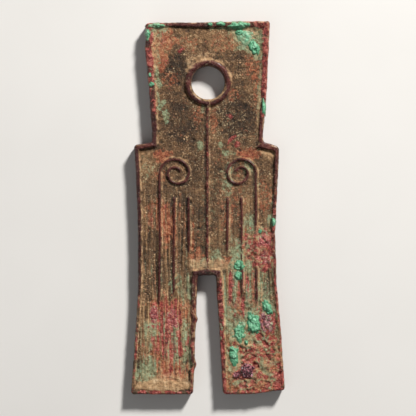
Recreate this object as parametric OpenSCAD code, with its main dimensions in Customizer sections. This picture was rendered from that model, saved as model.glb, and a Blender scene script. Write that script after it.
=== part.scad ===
// Chinese spade money: a flat bronze casting with a pierced head, square shoulders and two legs,
// and the mineral crusts that have grown on its face in the ground.
// X runs across the piece, Y runs from the feet to the head, Z stands up from the face.
// The origin is under the middle of the outline, on the plane of the back rims.

/* [Casting] */
// Length from the top edge to the feet
overall_l = 57.75; // [52:0.05:64]
// Thickness over the rims
rim_t = 2.4; // [1.8:0.05:3.4]
// Depth of the field below the rims, on each face
recess = 0.45; // [0.2:0.05:0.7]
// Radius of the outer corners, in plan
corner_r = 0.45; // [0.1:0.05:0.6]

/* [Rims] */
// Width of the rim along the top edge
top_rim_w = 0.9; // [0.6:0.05:1.3]
// Width of the rims along the head's sides
head_rim_w = 1.1; // [0.7:0.05:1.5]
// Width of the rims along the shoulders
shoulder_rim_w = 1.1; // [0.7:0.05:1.5]
// Width of the rims along the outer sides below the shoulders
side_rim_w = 0.65; // [0.4:0.05:1]
// Width of the rims along the feet
foot_rim_w = 0.6; // [0.4:0.05:1]
// Width of the rims along the slot
slot_rim_w = 0.95; // [0.6:0.05:1.2]

/* [Head] */
// Length of the head, top edge to shoulders
head_l = 18.6; // [16:0.1:21]
// Width of the head at the top edge
head_top_w = 19.15; // [16:0.05:21]
// Width of the head where it meets the shoulders
head_base_w = 17.15; // [15:0.05:19]
// Diameter of the round hole
hole_d = 5.1; // [4:0.05:6.5]
// Distance from the top edge down to the middle of the hole
hole_drop = 9.5; // [7.5:0.1:11]
// Width of the raised collar around the hole
collar_w = 0.95; // [0.5:0.05:1.4]

/* [Shoulders and legs] */
// Width across the shoulders
shoulder_w = 22.4; // [21.5:0.05:26]
// Fall of each shoulder from the head to its corner
shoulder_fall = 0.35; // [0:0.05:0.8]
// Width across the waist, the narrowest place below the shoulders
waist_w = 21.15; // [19.5:0.05:22]
// Distance from the shoulder line down to the waist
waist_drop = 16.5; // [12:0.1:20]
// Width across the feet
foot_w = 23.8; // [22:0.05:27]
// Rise of each foot from its inner to its outer corner
foot_rise = 0.3; // [0:0.05:0.8]
// Length of the slot between the legs
slot_l = 18.4; // [15:0.1:21]
// Width of the slot at its root
slot_root_w = 2.9; // [2:0.05:3.6]
// Width of the slot at its mouth
slot_mouth_w = 4.65; // [3.6:0.05:6]
// Radius of the two corners at the slot's root
slot_corner_r = 0.4; // [0.1:0.05:0.7]

/* [Raised lines] */
// Width of a raised line where it meets the field
bead_w = 0.5; // [0.3:0.05:0.8]
// Distance from the middle line to the middle of each scroll
scroll_x = 5.2; // [4.9:0.1:5.8]
// Distance from the shoulder line down to the middle of each scroll
scroll_drop = 4.9; // [4.4:0.1:7]
// Radius of the scroll's outer turn
scroll_r = 2.2; // [1.9:0.05:2.4]
// Step by which each half turn of the scroll closes in
scroll_step = 0.62; // [0.55:0.01:0.7]
// Number of half turns in a scroll
scroll_turns = 3; // [2:1:3]
// Distance between neighbouring ribs under a scroll
rib_pitch = 2.2; // [1.9:0.05:2.4]
// Gap between a scroll and the tops of the ribs under it
rib_gap = 1.2; // [0.8:0.1:2]
// Distance that the stem under a scroll runs down past the slot's root
stem_reach = 5.2; // [1:0.1:5.3]
// Distance that the middle rib runs down past the slot's root
middle_rib_reach = 3.6; // [1:0.1:6]
// Distance from the slot's root up to the foot of the inner rib
inner_rib_stop = 2.9; // [2:0.1:6]

/* [Crusts] */
// Height of a malachite crust above what it grows on
malachite_rise = 0.42; // [0.3:0.01:0.6]
// Radius of one malachite nodule
malachite_r = 0.6; // [0.5:0.05:0.8]
// Height of a cuprite crust above what it grows on
cuprite_rise = 0.2; // [0.12:0.01:0.3]
// Radius of one cuprite scale
cuprite_r = 0.8; // [0.6:0.05:0.9]
// Width of the slope around a cuprite scale
cuprite_slope = 0.2; // [0.1:0.05:0.4]
// Edge of the middle crystal of a cuprite druse, a cube that stands on its corner
crystal_l = 0.7; // [0.5:0.05:0.9]
// Edge of the crystals around it
small_crystal_l = 0.55; // [0.4:0.05:0.7]
// Depth to which a crust laps over an edge of the casting
crust_lap = 0.3; // [0.15:0.05:0.5]

/* [Hidden] */
$fn = 64;

BRONZE = "#5c4a36";
MALACHITE = "#5fb68c";
CUPRITE = "#8a3b38";

top_y = overall_l / 2;
foot_y = -overall_l / 2;
shoulder_y = top_y - head_l;
waist_y = shoulder_y - waist_drop;
slot_y = foot_y + slot_l;
hole_y = top_y - hole_drop;
collar_d = hole_d + 2 * collar_w;
field_z = rim_t - recess;
back_field_z = recess;
bead_r = bead_w / 2;
side_top_y = shoulder_y - shoulder_fall;
side_foot_y = foot_y + foot_rise;
scroll_y = shoulder_y - scroll_drop;
rib_top_y = scroll_y - scroll_r - rib_gap;
stem_foot_y = slot_y - stem_reach;
middle_rib_foot_y = slot_y - middle_rib_reach;
inner_rib_foot_y = slot_y + inner_rib_stop;
side_steps = 8;
corner_steps = 4;
through = 1;

// Half width of the outline below the shoulders: a parabola that opens from the waist both ways
function side_x(y) =
    let (up = (y - waist_y) / (side_top_y - waist_y),
         down = (waist_y - y) / (waist_y - side_foot_y),
         t = y > waist_y ? up : down,
         flare = y > waist_y ? shoulder_w - waist_w : foot_w - waist_w)
    (waist_w + flare * t * t) / 2;

// Half width of the head, which narrows evenly towards the shoulders
function head_x(y) =
    let (t = (top_y - y) / head_l)
    (head_top_w + (head_base_w - head_top_w) * t) / 2;

// Half width of the slot, which opens evenly towards its mouth
function slot_x(y) =
    let (t = (slot_y - y) / slot_l)
    (slot_root_w + (slot_mouth_w - slot_root_w) * t) / 2;

// Right half of the outline from the top edge down: each corner's place, its radius,
// and the width of the rim along the edge that follows it
right_half = [
    [head_top_w / 2, top_y, corner_r, head_rim_w],
    [head_base_w / 2, shoulder_y, corner_r / 2, shoulder_rim_w],
    [shoulder_w / 2, side_top_y, corner_r, side_rim_w],
    for (i = [1 : side_steps - 1])
        let (y = side_top_y + (side_foot_y - side_top_y) * i / side_steps)
        [side_x(y), y, 0, side_rim_w],
    [foot_w / 2, side_foot_y, corner_r, foot_rim_w],
    [slot_mouth_w / 2, foot_y, corner_r / 2, slot_rim_w],
    [slot_root_w / 2, slot_y, slot_corner_r, slot_rim_w]
];
last = len(right_half) - 1;

// Whole outline, anticlockwise: the left half down from the top edge, then the right half back up,
// where the edge that follows a corner is the one that comes before it in the list
corners = concat(
    [for (p = right_half) [-p.x, p.y, p.z, p[3]]],
    [for (i = [last : -1 : 0])
        let (p = right_half[i])
        [p.x, p.y, p.z, i == 0 ? top_rim_w : right_half[i - 1][3]]]
);

function unit(v) = v / norm(v);
function flat(p) = [p.x, p.y];
function left_of(v) = [-v.y, v.x];
function turn_of(a, b) = a.x * b.y - a.y * b.x;

// Offset of a corner between two directions, one unit inside both of its edges
function mitre(a, b) = (left_of(a) + left_of(b)) / (1 + a * b);

function before(list, i) = list[(i + len(list) - 1) % len(list)];
function after(list, i) = list[(i + 1) % len(list)];
function way_in(list, i) = unit(flat(list[i]) - flat(before(list, i)));
function way_out(list, i) = unit(flat(after(list, i)) - flat(list[i]));

// Meeting point of two edges moved in by their own rim widths. On edges almost in line, that is
// the plain mitre.
STRAIGHT = 0.001;
function inner_corner(p, a, b, wa, wb) =
    abs(turn_of(a, b)) < STRAIGHT
        ? p + wa * mitre(a, b)
        : p + wa * left_of(a) + a * (wa * (a * b) - wb) / turn_of(a, b);

// The inner edge of the rims, corner by corner
function inside_rims(list) = [
    for (i = [0 : len(list) - 1])
        let (q = inner_corner(flat(list[i]), way_in(list, i), way_out(list, i),
                              before(list, i)[3], list[i][3]))
        [q.x, q.y, list[i].z]
];

// The outline with an arc at every corner that has a radius
function rounded(list) = [
    for (i = [0 : len(list) - 1])
        let (p = flat(list[i]),
             r = list[i].z,
             a = way_in(list, i),
             b = way_out(list, i),
             sweep = atan2(turn_of(a, b), a * b),
             side = sign(sweep),
             centre = p + side * r * mitre(a, b),
             start = -side * r * left_of(a))
        if (r == 0) p
        else for (k = [0 : corner_steps])
            let (angle = sweep * k / corner_steps)
            centre + start * cos(angle) + left_of(start) * sin(angle)
];

// Sunk field of one face: everything inside the rim, apart from the collar around the hole
module field_cut() {
    linear_extrude(recess + through)
        difference() {
            polygon(rounded(inside_rims(corners)));
            translate([0, hole_y]) circle(d = collar_d);
        }
}

// Straight raised line along Y, half sunk in the field, with round ends
module rib(x, rib_y, rib_foot_y) {
    translate([x, rib_y, 0]) {
        rotate([90, 0, 0]) cylinder(h = rib_y - rib_foot_y, r = bead_r);
        sphere(r = bead_r);
    }
    translate([x, rib_foot_y, 0]) sphere(r = bead_r);
}

// Scroll of half turns that close in by one step each, with a stem running down from its outer end
module scroll() {
    for (k = [0 : scroll_turns - 1]) {
        r = scroll_r - k * scroll_step;
        shift = k % 2 == 0 ? 0 : -scroll_step;
        translate([scroll_x + shift, scroll_y, 0])
            rotate([0, 0, k % 2 == 0 ? 0 : 180])
                rotate_extrude(angle = 180) translate([r, 0]) circle(r = bead_r);
    }
    inner_r = scroll_r - (scroll_turns - 1) * scroll_step;
    inner_end = scroll_turns % 2 == 0 ? scroll_x - scroll_step + inner_r : scroll_x - inner_r;
    translate([inner_end, scroll_y, 0]) sphere(r = bead_r);
    rib(scroll_x + scroll_r, scroll_y, stem_foot_y);
}

// Raised lines of the right half of the face: a scroll with its stem, and two plain ribs under it
module half_relief() {
    scroll();
    rib(scroll_x, rib_top_y, middle_rib_foot_y);
    rib(scroll_x - rib_pitch, rib_top_y, inner_rib_foot_y);
}

// Line down the middle, from the collar to the rim over the slot
module middle_line() {
    ridge_top = hole_y - collar_d / 2 + collar_w / 2;
    ridge_foot = slot_y + slot_rim_w / 2;
    translate([0, ridge_top, 0])
        rotate([90, 0, 0]) cylinder(h = ridge_top - ridge_foot, r = bead_r);
}

// The casting as one solid: rims, fields, collar, hole and raised lines
module casting_solid() {
    difference() {
        union() {
            difference() {
                linear_extrude(rim_t) polygon(rounded(corners));
                translate([0, 0, field_z]) field_cut();
                translate([0, 0, back_field_z - recess - through]) field_cut();
            }
            translate([0, 0, field_z]) {
                middle_line();
                half_relief();
                mirror([1, 0, 0]) half_relief();
            }
            translate([0, 0, back_field_z]) middle_line();
        }
        translate([0, hole_y, -through]) cylinder(h = rim_t + 2 * through, d = hole_d);
    }
}

// What has grown on the casting, cut to the shape of the metal under it
module grown() {
    difference() {
        children();
        casting_solid();
    }
}

// One nodule: a rounded cap that stands on a level, with a straight skirt that laps below it
NODULE_FN = 160;
module nodule(base_r, rise) {
    ball_r = (base_r * base_r + rise * rise) / (2 * rise);
    rotate_extrude($fn = NODULE_FN) {
        intersection() {
            translate([0, rise - ball_r]) circle(r = ball_r, $fn = NODULE_FN);
            square([base_r, rise]);
        }
        translate([0, -crust_lap]) square([base_r, crust_lap]);
    }
}

// One scale: a flat disc with a sloping edge, and the same skirt
module flat_scale(base_r, rise) {
    top_r = base_r - cuprite_slope;
    rotate_extrude($fn = NODULE_FN)
        polygon([[0, -crust_lap], [base_r, -crust_lap], [base_r, 0], [top_r, rise], [0, rise]]);
}

// Zigzag row of overlapping pieces of one radius along Y. $along runs from -1 at the row's lower end
// to 1 at its upper end, for a piece whose height depends on its place.
ROW_PITCH = 1.1;
module zigzag(place, half_sizes, turn, r) {
    reach = half_sizes - [r, r];
    gaps = ceil(2 * reach.y / (ROW_PITCH * r));
    translate(place)
        rotate([0, 0, turn])
            for (i = [0 : gaps]) {
                across = i % 2 == 0 ? 1 : -1;
                $along = gaps == 0 ? 0 : 2 * i / gaps - 1;
                translate([across * reach.x, $along * reach.y, 0]) children();
            }
}

// Grape-like green crust, which thins towards both ends
module malachite(place, half_sizes, turn = 0) {
    r = min(malachite_r, half_sizes.x, half_sizes.y);
    zigzag(place, half_sizes, turn, r) nodule(r, malachite_rise * (1 - $along * $along / 3));
}

// Scaly red crust, which thins towards its lower end
module cuprite(place, half_sizes, turn = 0) {
    r = min(cuprite_r, half_sizes.x, half_sizes.y);
    zigzag(place, half_sizes, turn, r) flat_scale(r, cuprite_rise * (5 + $along) / 6);
}

// Druse of small cubes that stand on their corners, half sunk in the level that they grow from:
// one in the middle and the rest in a ring around it
CORNER_TILT = atan(sqrt(2));
module crystals(place, ring_r, count) {
    translate(place)
        for (i = [0 : count]) {
            rotate([0, 0, i * 360 / count])
                translate([i == 0 ? 0 : ring_r, 0, 0])
                    rotate([0, CORNER_TILT, 0])
                        rotate([0, 0, 45])
                            cube(i == 0 ? crystal_l : small_crystal_l, center = true);
        }
}

module bronze_casting() {
    color(BRONZE) casting_solid();
}

// Crusts on the head

module malachite_top_edge() {
    right_x = head_top_w / 2;
    color(MALACHITE) grown() {
        malachite([right_x - 4.7, top_y - 0.6, rim_t], [0.55, 1.6], 90);
        malachite([right_x - 7.7, top_y - 0.45, rim_t], [0.35, 0.45], 90);
        malachite([right_x - 9.4, top_y - 0.45, rim_t], [0.35, 0.35]);
    }
}

module malachite_left_corner() {
    edge_y = top_y - 2;
    color(MALACHITE) grown() {
        malachite([-head_top_w / 2 + 1.7, top_y - 0.55, rim_t], [0.5, 1.2], 90);
        malachite([-head_x(edge_y) + 0.5, edge_y, rim_t], [0.45, 0.8]);
    }
}

module malachite_right_corner() {
    right_x = head_top_w / 2;
    color(MALACHITE) grown() {
        malachite([right_x - 3.4, top_y - 2.4, field_z], [0.9, 1.2], 65);
        malachite([right_x - 2.3, top_y - 4.1, field_z], [0.55, 1.1], 15);
    }
}

module malachite_head_edges() {
    right_y = shoulder_y + 5.2;
    left_y = hole_y - 0.4;
    color(MALACHITE) grown() {
        malachite([head_x(right_y) - 0.3, right_y, rim_t], [0.4, 1.4], 3);
        malachite([-head_x(left_y) + 0.55, left_y, rim_t], [0.45, 0.45]);
    }
}

// Crusts on the body and the legs

module malachite_side_nodules() {
    rim_y = waist_y + 4;
    field_y = waist_y + 2.6;
    color(MALACHITE) grown() {
        malachite([side_x(rim_y) - 0.3, rim_y, rim_t], [0.45, 0.65]);
        malachite([side_x(field_y) - 2.4, field_y, field_z], [0.35, 0.35]);
    }
}

module malachite_slot_root() {
    inner_x = slot_root_w / 2;
    color(MALACHITE) grown() {
        malachite([inner_x + 3.3, slot_y + 1.4, field_z], [0.7, 0.9], 90);
        malachite([inner_x + 3.2, slot_y - 0.1, field_z], [0.6, 0.8], 10);
    }
}

module malachite_leg_outer() {
    y = slot_y - 4.9;
    color(MALACHITE) grown()
        malachite([side_x(y) - 1.5, y, field_z], [0.75, 1.1], 30);
}

module malachite_leg_middle() {
    y = slot_y - 7.4;
    color(MALACHITE) grown()
        malachite([slot_x(y) + 5.2, y, field_z], [0.95, 1.7], 8);
}

module malachite_leg_inner() {
    y = slot_y - 8.9;
    color(MALACHITE) grown()
        malachite([slot_x(y) + 3, y, field_z], [0.8, 1.4], -12);
}

module malachite_foot_inner() {
    y = foot_y + 6;
    color(MALACHITE) grown()
        malachite([slot_x(y) + 1.8, y, field_z], [0.7, 1.6], 5);
}

module cuprite_waist() {
    upper_y = waist_y + 1.2;
    lower_y = waist_y - 1.4;
    color(CUPRITE) grown() {
        cuprite([side_x(upper_y) - 1.7, upper_y, field_z], [1, 1.5], -5);
        cuprite([side_x(lower_y) - 1.8, lower_y, field_z], [1.05, 1.4]);
    }
}

module cuprite_leg_outer() {
    y = slot_y - 7.3;
    color(CUPRITE) grown()
        cuprite([side_x(y) - 1.8, y, field_z], [0.95, 1.6], 10);
}

module cuprite_foot_crystals() {
    y = foot_y + 3.7;
    color(CUPRITE) grown() {
        crystals([slot_x(y) + 3.9, y, field_z], 0.8, 7);
        crystals([slot_x(y) + 2.3, y - 0.7, field_z], 0.4, 3);
    }
}

module cuprite_left_leg() {
    outer_y = slot_y - 6.2;
    inner_y = slot_y - 7.4;
    color(CUPRITE) grown() {
        cuprite([-side_x(outer_y) + 2.1, outer_y, field_z], [1, 1.7], 5);
        cuprite([-side_x(inner_y) + 5.6, inner_y, field_z], [1.2, 1.9], -10);
    }
}

bronze_casting();
malachite_top_edge();
malachite_left_corner();
malachite_right_corner();
malachite_head_edges();
malachite_side_nodules();
malachite_slot_root();
malachite_leg_outer();
malachite_leg_middle();
malachite_leg_inner();
malachite_foot_inner();
cuprite_waist();
cuprite_leg_outer();
cuprite_foot_crystals();
cuprite_left_leg();
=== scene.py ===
"""Looks of a Chinese spade money: one bronze casting and the mineral crusts that have grown on its face.

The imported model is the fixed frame. Each piece is worked out in millimetres in that frame, X across the
coin, Y from the feet to the head and Z out of the face, and goes into its mesh in metres. Every object
stays at the origin, so that Object coordinates are the frame's own.
"""

import logging
from dataclasses import dataclass, field
from enum import Enum, IntEnum
from functools import reduce
from typing import Callable, Union

import bpy
import numpy as np
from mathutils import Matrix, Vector


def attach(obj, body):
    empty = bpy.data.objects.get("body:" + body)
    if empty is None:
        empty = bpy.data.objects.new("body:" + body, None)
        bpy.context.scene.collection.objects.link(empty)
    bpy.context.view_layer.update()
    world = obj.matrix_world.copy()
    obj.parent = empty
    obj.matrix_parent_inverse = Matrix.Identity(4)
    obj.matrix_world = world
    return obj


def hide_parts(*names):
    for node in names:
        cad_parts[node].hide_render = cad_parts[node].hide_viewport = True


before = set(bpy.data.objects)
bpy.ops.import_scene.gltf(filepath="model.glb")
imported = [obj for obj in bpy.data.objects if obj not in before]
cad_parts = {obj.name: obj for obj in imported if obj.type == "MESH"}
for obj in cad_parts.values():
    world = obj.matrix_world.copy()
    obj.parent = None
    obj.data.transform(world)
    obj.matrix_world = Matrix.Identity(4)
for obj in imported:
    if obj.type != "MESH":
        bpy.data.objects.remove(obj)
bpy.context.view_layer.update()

log = logging.getLogger("spade_money")

Array = np.ndarray
Level = Union[float, Array]
Arrays = tuple[Array, ...]
Numbers = tuple[float, ...]
Colour = tuple[float, float, float, float]
Tones = tuple[Colour, ...]
Piece = bpy.types.Object
Material = bpy.types.Material

MM = 0.001
ROOT_BODY = "root"
CHUNK = 4096
TINY = 1e-12
# Direction in the face towards the key light: raised forms get soil and painted light on the side facing it,
# painted shade on the other
LIGHT_SIDE = (0.5, 0.866)

# Odd numbers and a mask that scatter the lattice's random shares
COLUMN_KEY = np.uint32(374761393)
ROW_KEY = np.uint32(668265263)
SEED_KEY = 2654435761
MIX_KEY = np.uint32(1274126177)
LOW_BITS = 0xFFFFFF


# Plain helpers on arrays


def highest(*values: Array) -> Array:
    """Greatest of several arrays at each place."""
    return reduce(np.maximum, values)


def rise(low: Level, high: Level, value: Array) -> Array:
    """Rise from 0 at low to 1 at high along 3t^2 - 2t^3; high may be the smaller one, for a fall."""
    t = np.clip((value - low) / (high - low), 0.0, 1.0)
    return t * t * (3.0 - 2.0 * t)


def bell(value: Array, middle: Level, width: Level) -> Array:
    """Bell curve exp(-((value - middle) / width)^2)."""
    return np.exp(-(((value - middle) / width) ** 2))


def nearest_even(line: Array, place: float) -> int:
    """Number of the point of a line that is nearest to a place, or one less where that is odd."""
    return 2 * int(np.abs(line - place).argmin() // 2)


def lattice(column: Array, row: Array, seed: int) -> Array:
    """Random share of each lattice point.

    Formula: column, row and seed are multiplied by large odd numbers, added, and mixed by shifts.

    Args:
        column, row: whole numbers.
        seed: which of the endless random fields to read.

    Returns:
        Numbers from 0 to 1.
    """
    mixed = column.astype(np.int64).astype(np.uint32) * COLUMN_KEY
    mixed = mixed + row.astype(np.int64).astype(np.uint32) * ROW_KEY
    mixed = mixed + np.uint32(seed * SEED_KEY % 2**32)
    mixed = (mixed ^ (mixed >> np.uint32(13))) * MIX_KEY
    mixed = mixed ^ (mixed >> np.uint32(16))
    return (mixed & np.uint32(LOW_BITS)) / float(LOW_BITS)


def noise(x: Array, y: Array, cell: Numbers, seed: int) -> Array:
    """Gradient noise from about -1 to 1.

    Formula: each corner of a lattice has a random slope; the four slopes around a point are added up, each
    weighted by the fade 6t^5 - 15t^4 + 10t^3 in both directions.

    Args:
        x, y: the points.
        cell: width and height of one lattice cell.
        seed: random field.

    Returns:
        The noise at each point.
    """
    u, v = x / cell[0], y / cell[1]
    column, row = np.floor(u), np.floor(v)
    fu, fv = u - column, v - row
    fade_u = fu**3 * (fu * (fu * 6.0 - 15.0) + 10.0)
    fade_v = fv**3 * (fv * (fv * 6.0 - 15.0) + 10.0)
    total = np.zeros_like(u)
    for right in (0, 1):
        for up in (0, 1):
            angle = 2.0 * np.pi * lattice(column + right, row + up, seed)
            slope = np.cos(angle) * (fu - right) + np.sin(angle) * (fv - up)
            weight_u = fade_u if right else 1.0 - fade_u
            weight_v = fade_v if up else 1.0 - fade_v
            total += slope * weight_u * weight_v
    return 1.5 * total


def fractal(x: Array, y: Array, cell: float, seed: int, octaves: int = 3) -> Array:
    """Sum of noises, each with half the cell and half the height of the one before.

    Args:
        x, y: the points.
        cell: width of the largest cell.
        seed: random field.
        octaves: how many noises to add.

    Returns:
        The sum at each point, from about -1 to 1.
    """
    total = np.zeros_like(x)
    for octave in range(octaves):
        size = cell / 2**octave
        total += noise(x, y, (size, size), seed + 101 * octave) / 2**octave
    return total * 0.75


def cells(x: Array, y: Array, cell: float, seed: int) -> Arrays:
    """Cellular pattern: one random point in each lattice cell.

    Formula: the distances to the points in the nine cells around are compared, in units of one cell.

    Args:
        x, y: the points.
        cell: width of a cell.
        seed: random field.

    Returns:
        Distance to the nearest point, how much further the second one is, and a random share of the nearest.
    """
    u, v = x / cell, y / cell
    column, row = np.floor(u), np.floor(v)
    first = np.full_like(u, 9.0)
    second = np.full_like(u, 9.0)
    tone = np.zeros_like(u)
    for step_x in (-1, 0, 1):
        for step_y in (-1, 0, 1):
            near_x, near_y = column + step_x, row + step_y
            point_x = near_x + lattice(near_x, near_y, seed)
            point_y = near_y + lattice(near_x, near_y, seed + 17)
            distance = np.hypot(u - point_x, v - point_y)
            closer = distance < first
            second = np.where(closer, first, np.minimum(second, distance))
            tone = np.where(closer, lattice(near_x, near_y, seed + 29), tone)
            first = np.minimum(first, distance)
    return first, second - first, tone


def to_path(x: Array, y: Array, path: Array, weights: Union[Array, None] = None) -> Arrays:
    """Least distance from points to a line of straight pieces, where that is, and on which side.

    Formula: each point is dropped on each piece, held between the piece's ends, and the least distance wins.
    Where the line has weights, a distance is first divided by its piece's weight. The side is the cosine of
    the angle between the way from the line to the point and the direction towards the key light.

    Args:
        x, y: the points.
        path: corners of the line, one row each.
        weights: one number for each piece.

    Returns:
        The least distance, the place along the line counted in pieces, and the side from -1 to 1.
    """
    start, step = path[:-1], np.diff(path, axis=0)
    length2 = np.maximum((step**2).sum(axis=1), TINY)
    flat_x, flat_y = x.ravel(), y.ravel()
    distance, place, side = (np.empty(flat_x.size) for _ in range(3))
    for low in range(0, flat_x.size, CHUNK):
        part = slice(low, low + CHUNK)
        off_x = flat_x[part, None] - start[:, 0]
        off_y = flat_y[part, None] - start[:, 1]
        along = np.clip((off_x * step[:, 0] + off_y * step[:, 1]) / length2, 0.0, 1.0)
        off_x, off_y = off_x - along * step[:, 0], off_y - along * step[:, 1]
        away = np.hypot(off_x, off_y)
        counted = away if weights is None else away / weights
        nearest = counted.argmin(axis=1)
        rows = np.arange(nearest.size)
        distance[part] = counted[rows, nearest]
        place[part] = nearest + along[rows, nearest]
        lean = off_x[rows, nearest] * LIGHT_SIDE[0] + off_y[rows, nearest] * LIGHT_SIDE[1]
        side[part] = lean / np.maximum(away[rows, nearest], 1e-6)
    return distance.reshape(x.shape), place.reshape(x.shape), side.reshape(x.shape)


def inside(x: Array, y: Array, loop: Array) -> Array:
    """Whether points lie inside a closed line: a ray towards +X crosses it an odd number of times.

    Args:
        x, y: the points.
        loop: corners of the line, of which the last is the first again.

    Returns:
        True for the points inside.
    """
    flat_x, flat_y = x.ravel(), y.ravel()
    found = np.empty(flat_x.size, bool)
    x0, y0, x1, y1 = loop[:-1, 0], loop[:-1, 1], loop[1:, 0], loop[1:, 1]
    climb = np.where(y1 == y0, TINY, y1 - y0)
    for low in range(0, flat_x.size, CHUNK):
        part = slice(low, low + CHUNK)
        px, py = flat_x[part, None], flat_y[part, None]
        spans = (y0 > py) != (y1 > py)
        crosses = spans & (px < x0 + (x1 - x0) * (py - y0) / climb)
        found[part] = crosses.sum(axis=1) % 2 == 1
    return found.reshape(x.shape)


def make_mesh(
    name: str, points: Array, faces: list[Array], marks: dict[str, Array], smooth: bool = True
) -> Piece:
    """Puts points and faces into a new object at the origin.

    Args:
        name: name of the piece.
        points: places in millimetres, one row each.
        faces: blocks of faces, each an array of corner numbers with one face per row.
        marks: numbers of the points that the finish reads, by the attribute's name.
        smooth: whether the faces shade into each other.

    Returns:
        The object, linked to the scene. Points that no face uses are dropped.
    """
    corners = np.concatenate([block.ravel() for block in faces])
    sides = np.concatenate([np.full(len(block), block.shape[1]) for block in faces])
    used, corners = np.unique(corners, return_inverse=True)
    mesh = bpy.data.meshes.new(name)
    mesh.vertices.add(used.size)
    mesh.vertices.foreach_set("co", (points[used] * MM).astype(np.float32).ravel())
    mesh.loops.add(corners.size)
    mesh.loops.foreach_set("vertex_index", corners.astype(np.int32))
    mesh.polygons.add(sides.size)
    mesh.polygons.foreach_set("loop_start", (np.cumsum(sides) - sides).astype(np.int32))
    mesh.polygons.foreach_set("use_smooth", np.full(sides.size, smooth))
    for mark, values in marks.items():
        layer = mesh.attributes.new(mark, "FLOAT", "POINT")
        layer.data.foreach_set("value", values[used].astype(np.float32))
    mesh.update(calc_edges=True)
    mesh.validate()
    piece = bpy.data.objects.new(name, mesh)
    bpy.context.scene.collection.objects.link(piece)
    return piece


# Stains of the face


class Stain(Enum):
    """Kinds of stain, named by the point attribute that carries each.

    Soil also carries painted light beside raised forms, and shade both darker patina and painted shade.
    """

    CREST = "crest"
    SOIL = "soil"
    EMBER = "ember"
    FILM = "film"
    RED = "red"
    SHADE = "shade"
    COMB = "comb"


@dataclass
class StainMap:
    """Share of each stain at a set of places: from 0 to 1, but shade may be any number, dark above 0."""

    crest: Array
    soil: Array
    ember: Array
    film: Array
    red: Array
    shade: Array
    comb: Array

    def of(self, stain: Stain) -> Array:
        """Share of one stain, flat."""
        return getattr(self, stain.value).ravel()

    def lay(self, stain: Stain, cover: Array) -> None:
        """Lays one more cover of a stain: shades add up, and any other stain takes a share of what is free.

        Args:
            stain: which stain.
            cover: its share at each place.
        """
        held = getattr(self, stain.value)
        total = held + cover if stain is Stain.SHADE else 1.0 - (1.0 - held) * (1.0 - cover)
        setattr(self, stain.value, total)


@dataclass(frozen=True)
class Oval:
    """An oval area of the face with a ragged edge, in millimetres and degrees.

    Its cover is full within inner times the half sizes and gone at outer times, and torn says how far noise
    pushes that edge in and out.
    """

    x: float
    y: float
    half_x: float
    half_y: float
    strength: float = 1.0
    turn: float = 0.0
    outer: float = 1.25
    inner: float = 0.55
    torn: float = 0.45

    def cover(self, x: Array, y: Array, ragged: Array) -> Array:
        """Share of the area at each point: it falls from its strength inside the oval to 0 outside.

        Args:
            x, y: the points.
            ragged: the noise at its edge.

        Returns:
            Numbers from 0 to the strength.
        """
        cos, sin = np.cos(np.radians(self.turn)), np.sin(np.radians(self.turn))
        off_x, off_y = x - self.x, y - self.y
        across = (off_x * cos + off_y * sin) / self.half_x
        along = (off_y * cos - off_x * sin) / self.half_y
        reach = np.hypot(across, along) + self.torn * ragged
        return self.strength * rise(self.outer, self.inner, reach)


@dataclass(frozen=True)
class Zone:
    """A part of the face with soft borders: it fades in from Y y_out to y_in, and from X x_out to x_in."""

    y_out: float
    y_in: float
    x_out: float
    x_in: float

    def cover(self, x: Array, y: Array) -> Array:
        """Share of the zone at each point: a smooth rise along Y times one along X."""
        return rise(self.y_out, self.y_in, y) * rise(self.x_out, self.x_in, x)


HEAD_SIDES = Zone(12.0, 16.0, 5.0, 7.0)
HEAD_RIGHT = Zone(10.0, 15.0, 5.0, 7.0)
RED_HEAD = Zone(14.0, 17.5, 5.5, 7.6)
RED_SIDE = Zone(9.0, 1.0, 6.0, 9.0)
EATEN_SIDE = Zone(-3.0, -8.0, 6.5, 8.5)
LEFT_PANEL = Zone(4.5, 1.0, -0.5, -2.5)
RIGHT_PANEL = Zone(4.0, 0.0, 0.5, 2.0)
RIGHT_LEG = Zone(-6.0, -11.0, 0.5, 2.0)

WAIST = Oval(8.0, -6.4, 3.4, 3.4, outer=1.15, inner=0.7, torn=0.4)
CORRODED_LEG = Oval(6.8, -16.5, 4.4, 4.6, outer=1.2, inner=0.6, torn=0.4)
CORRODED_FOOT = Oval(7.2, -23.8, 5.0, 5.8, outer=1.15, inner=0.75, torn=0.0)

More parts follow.
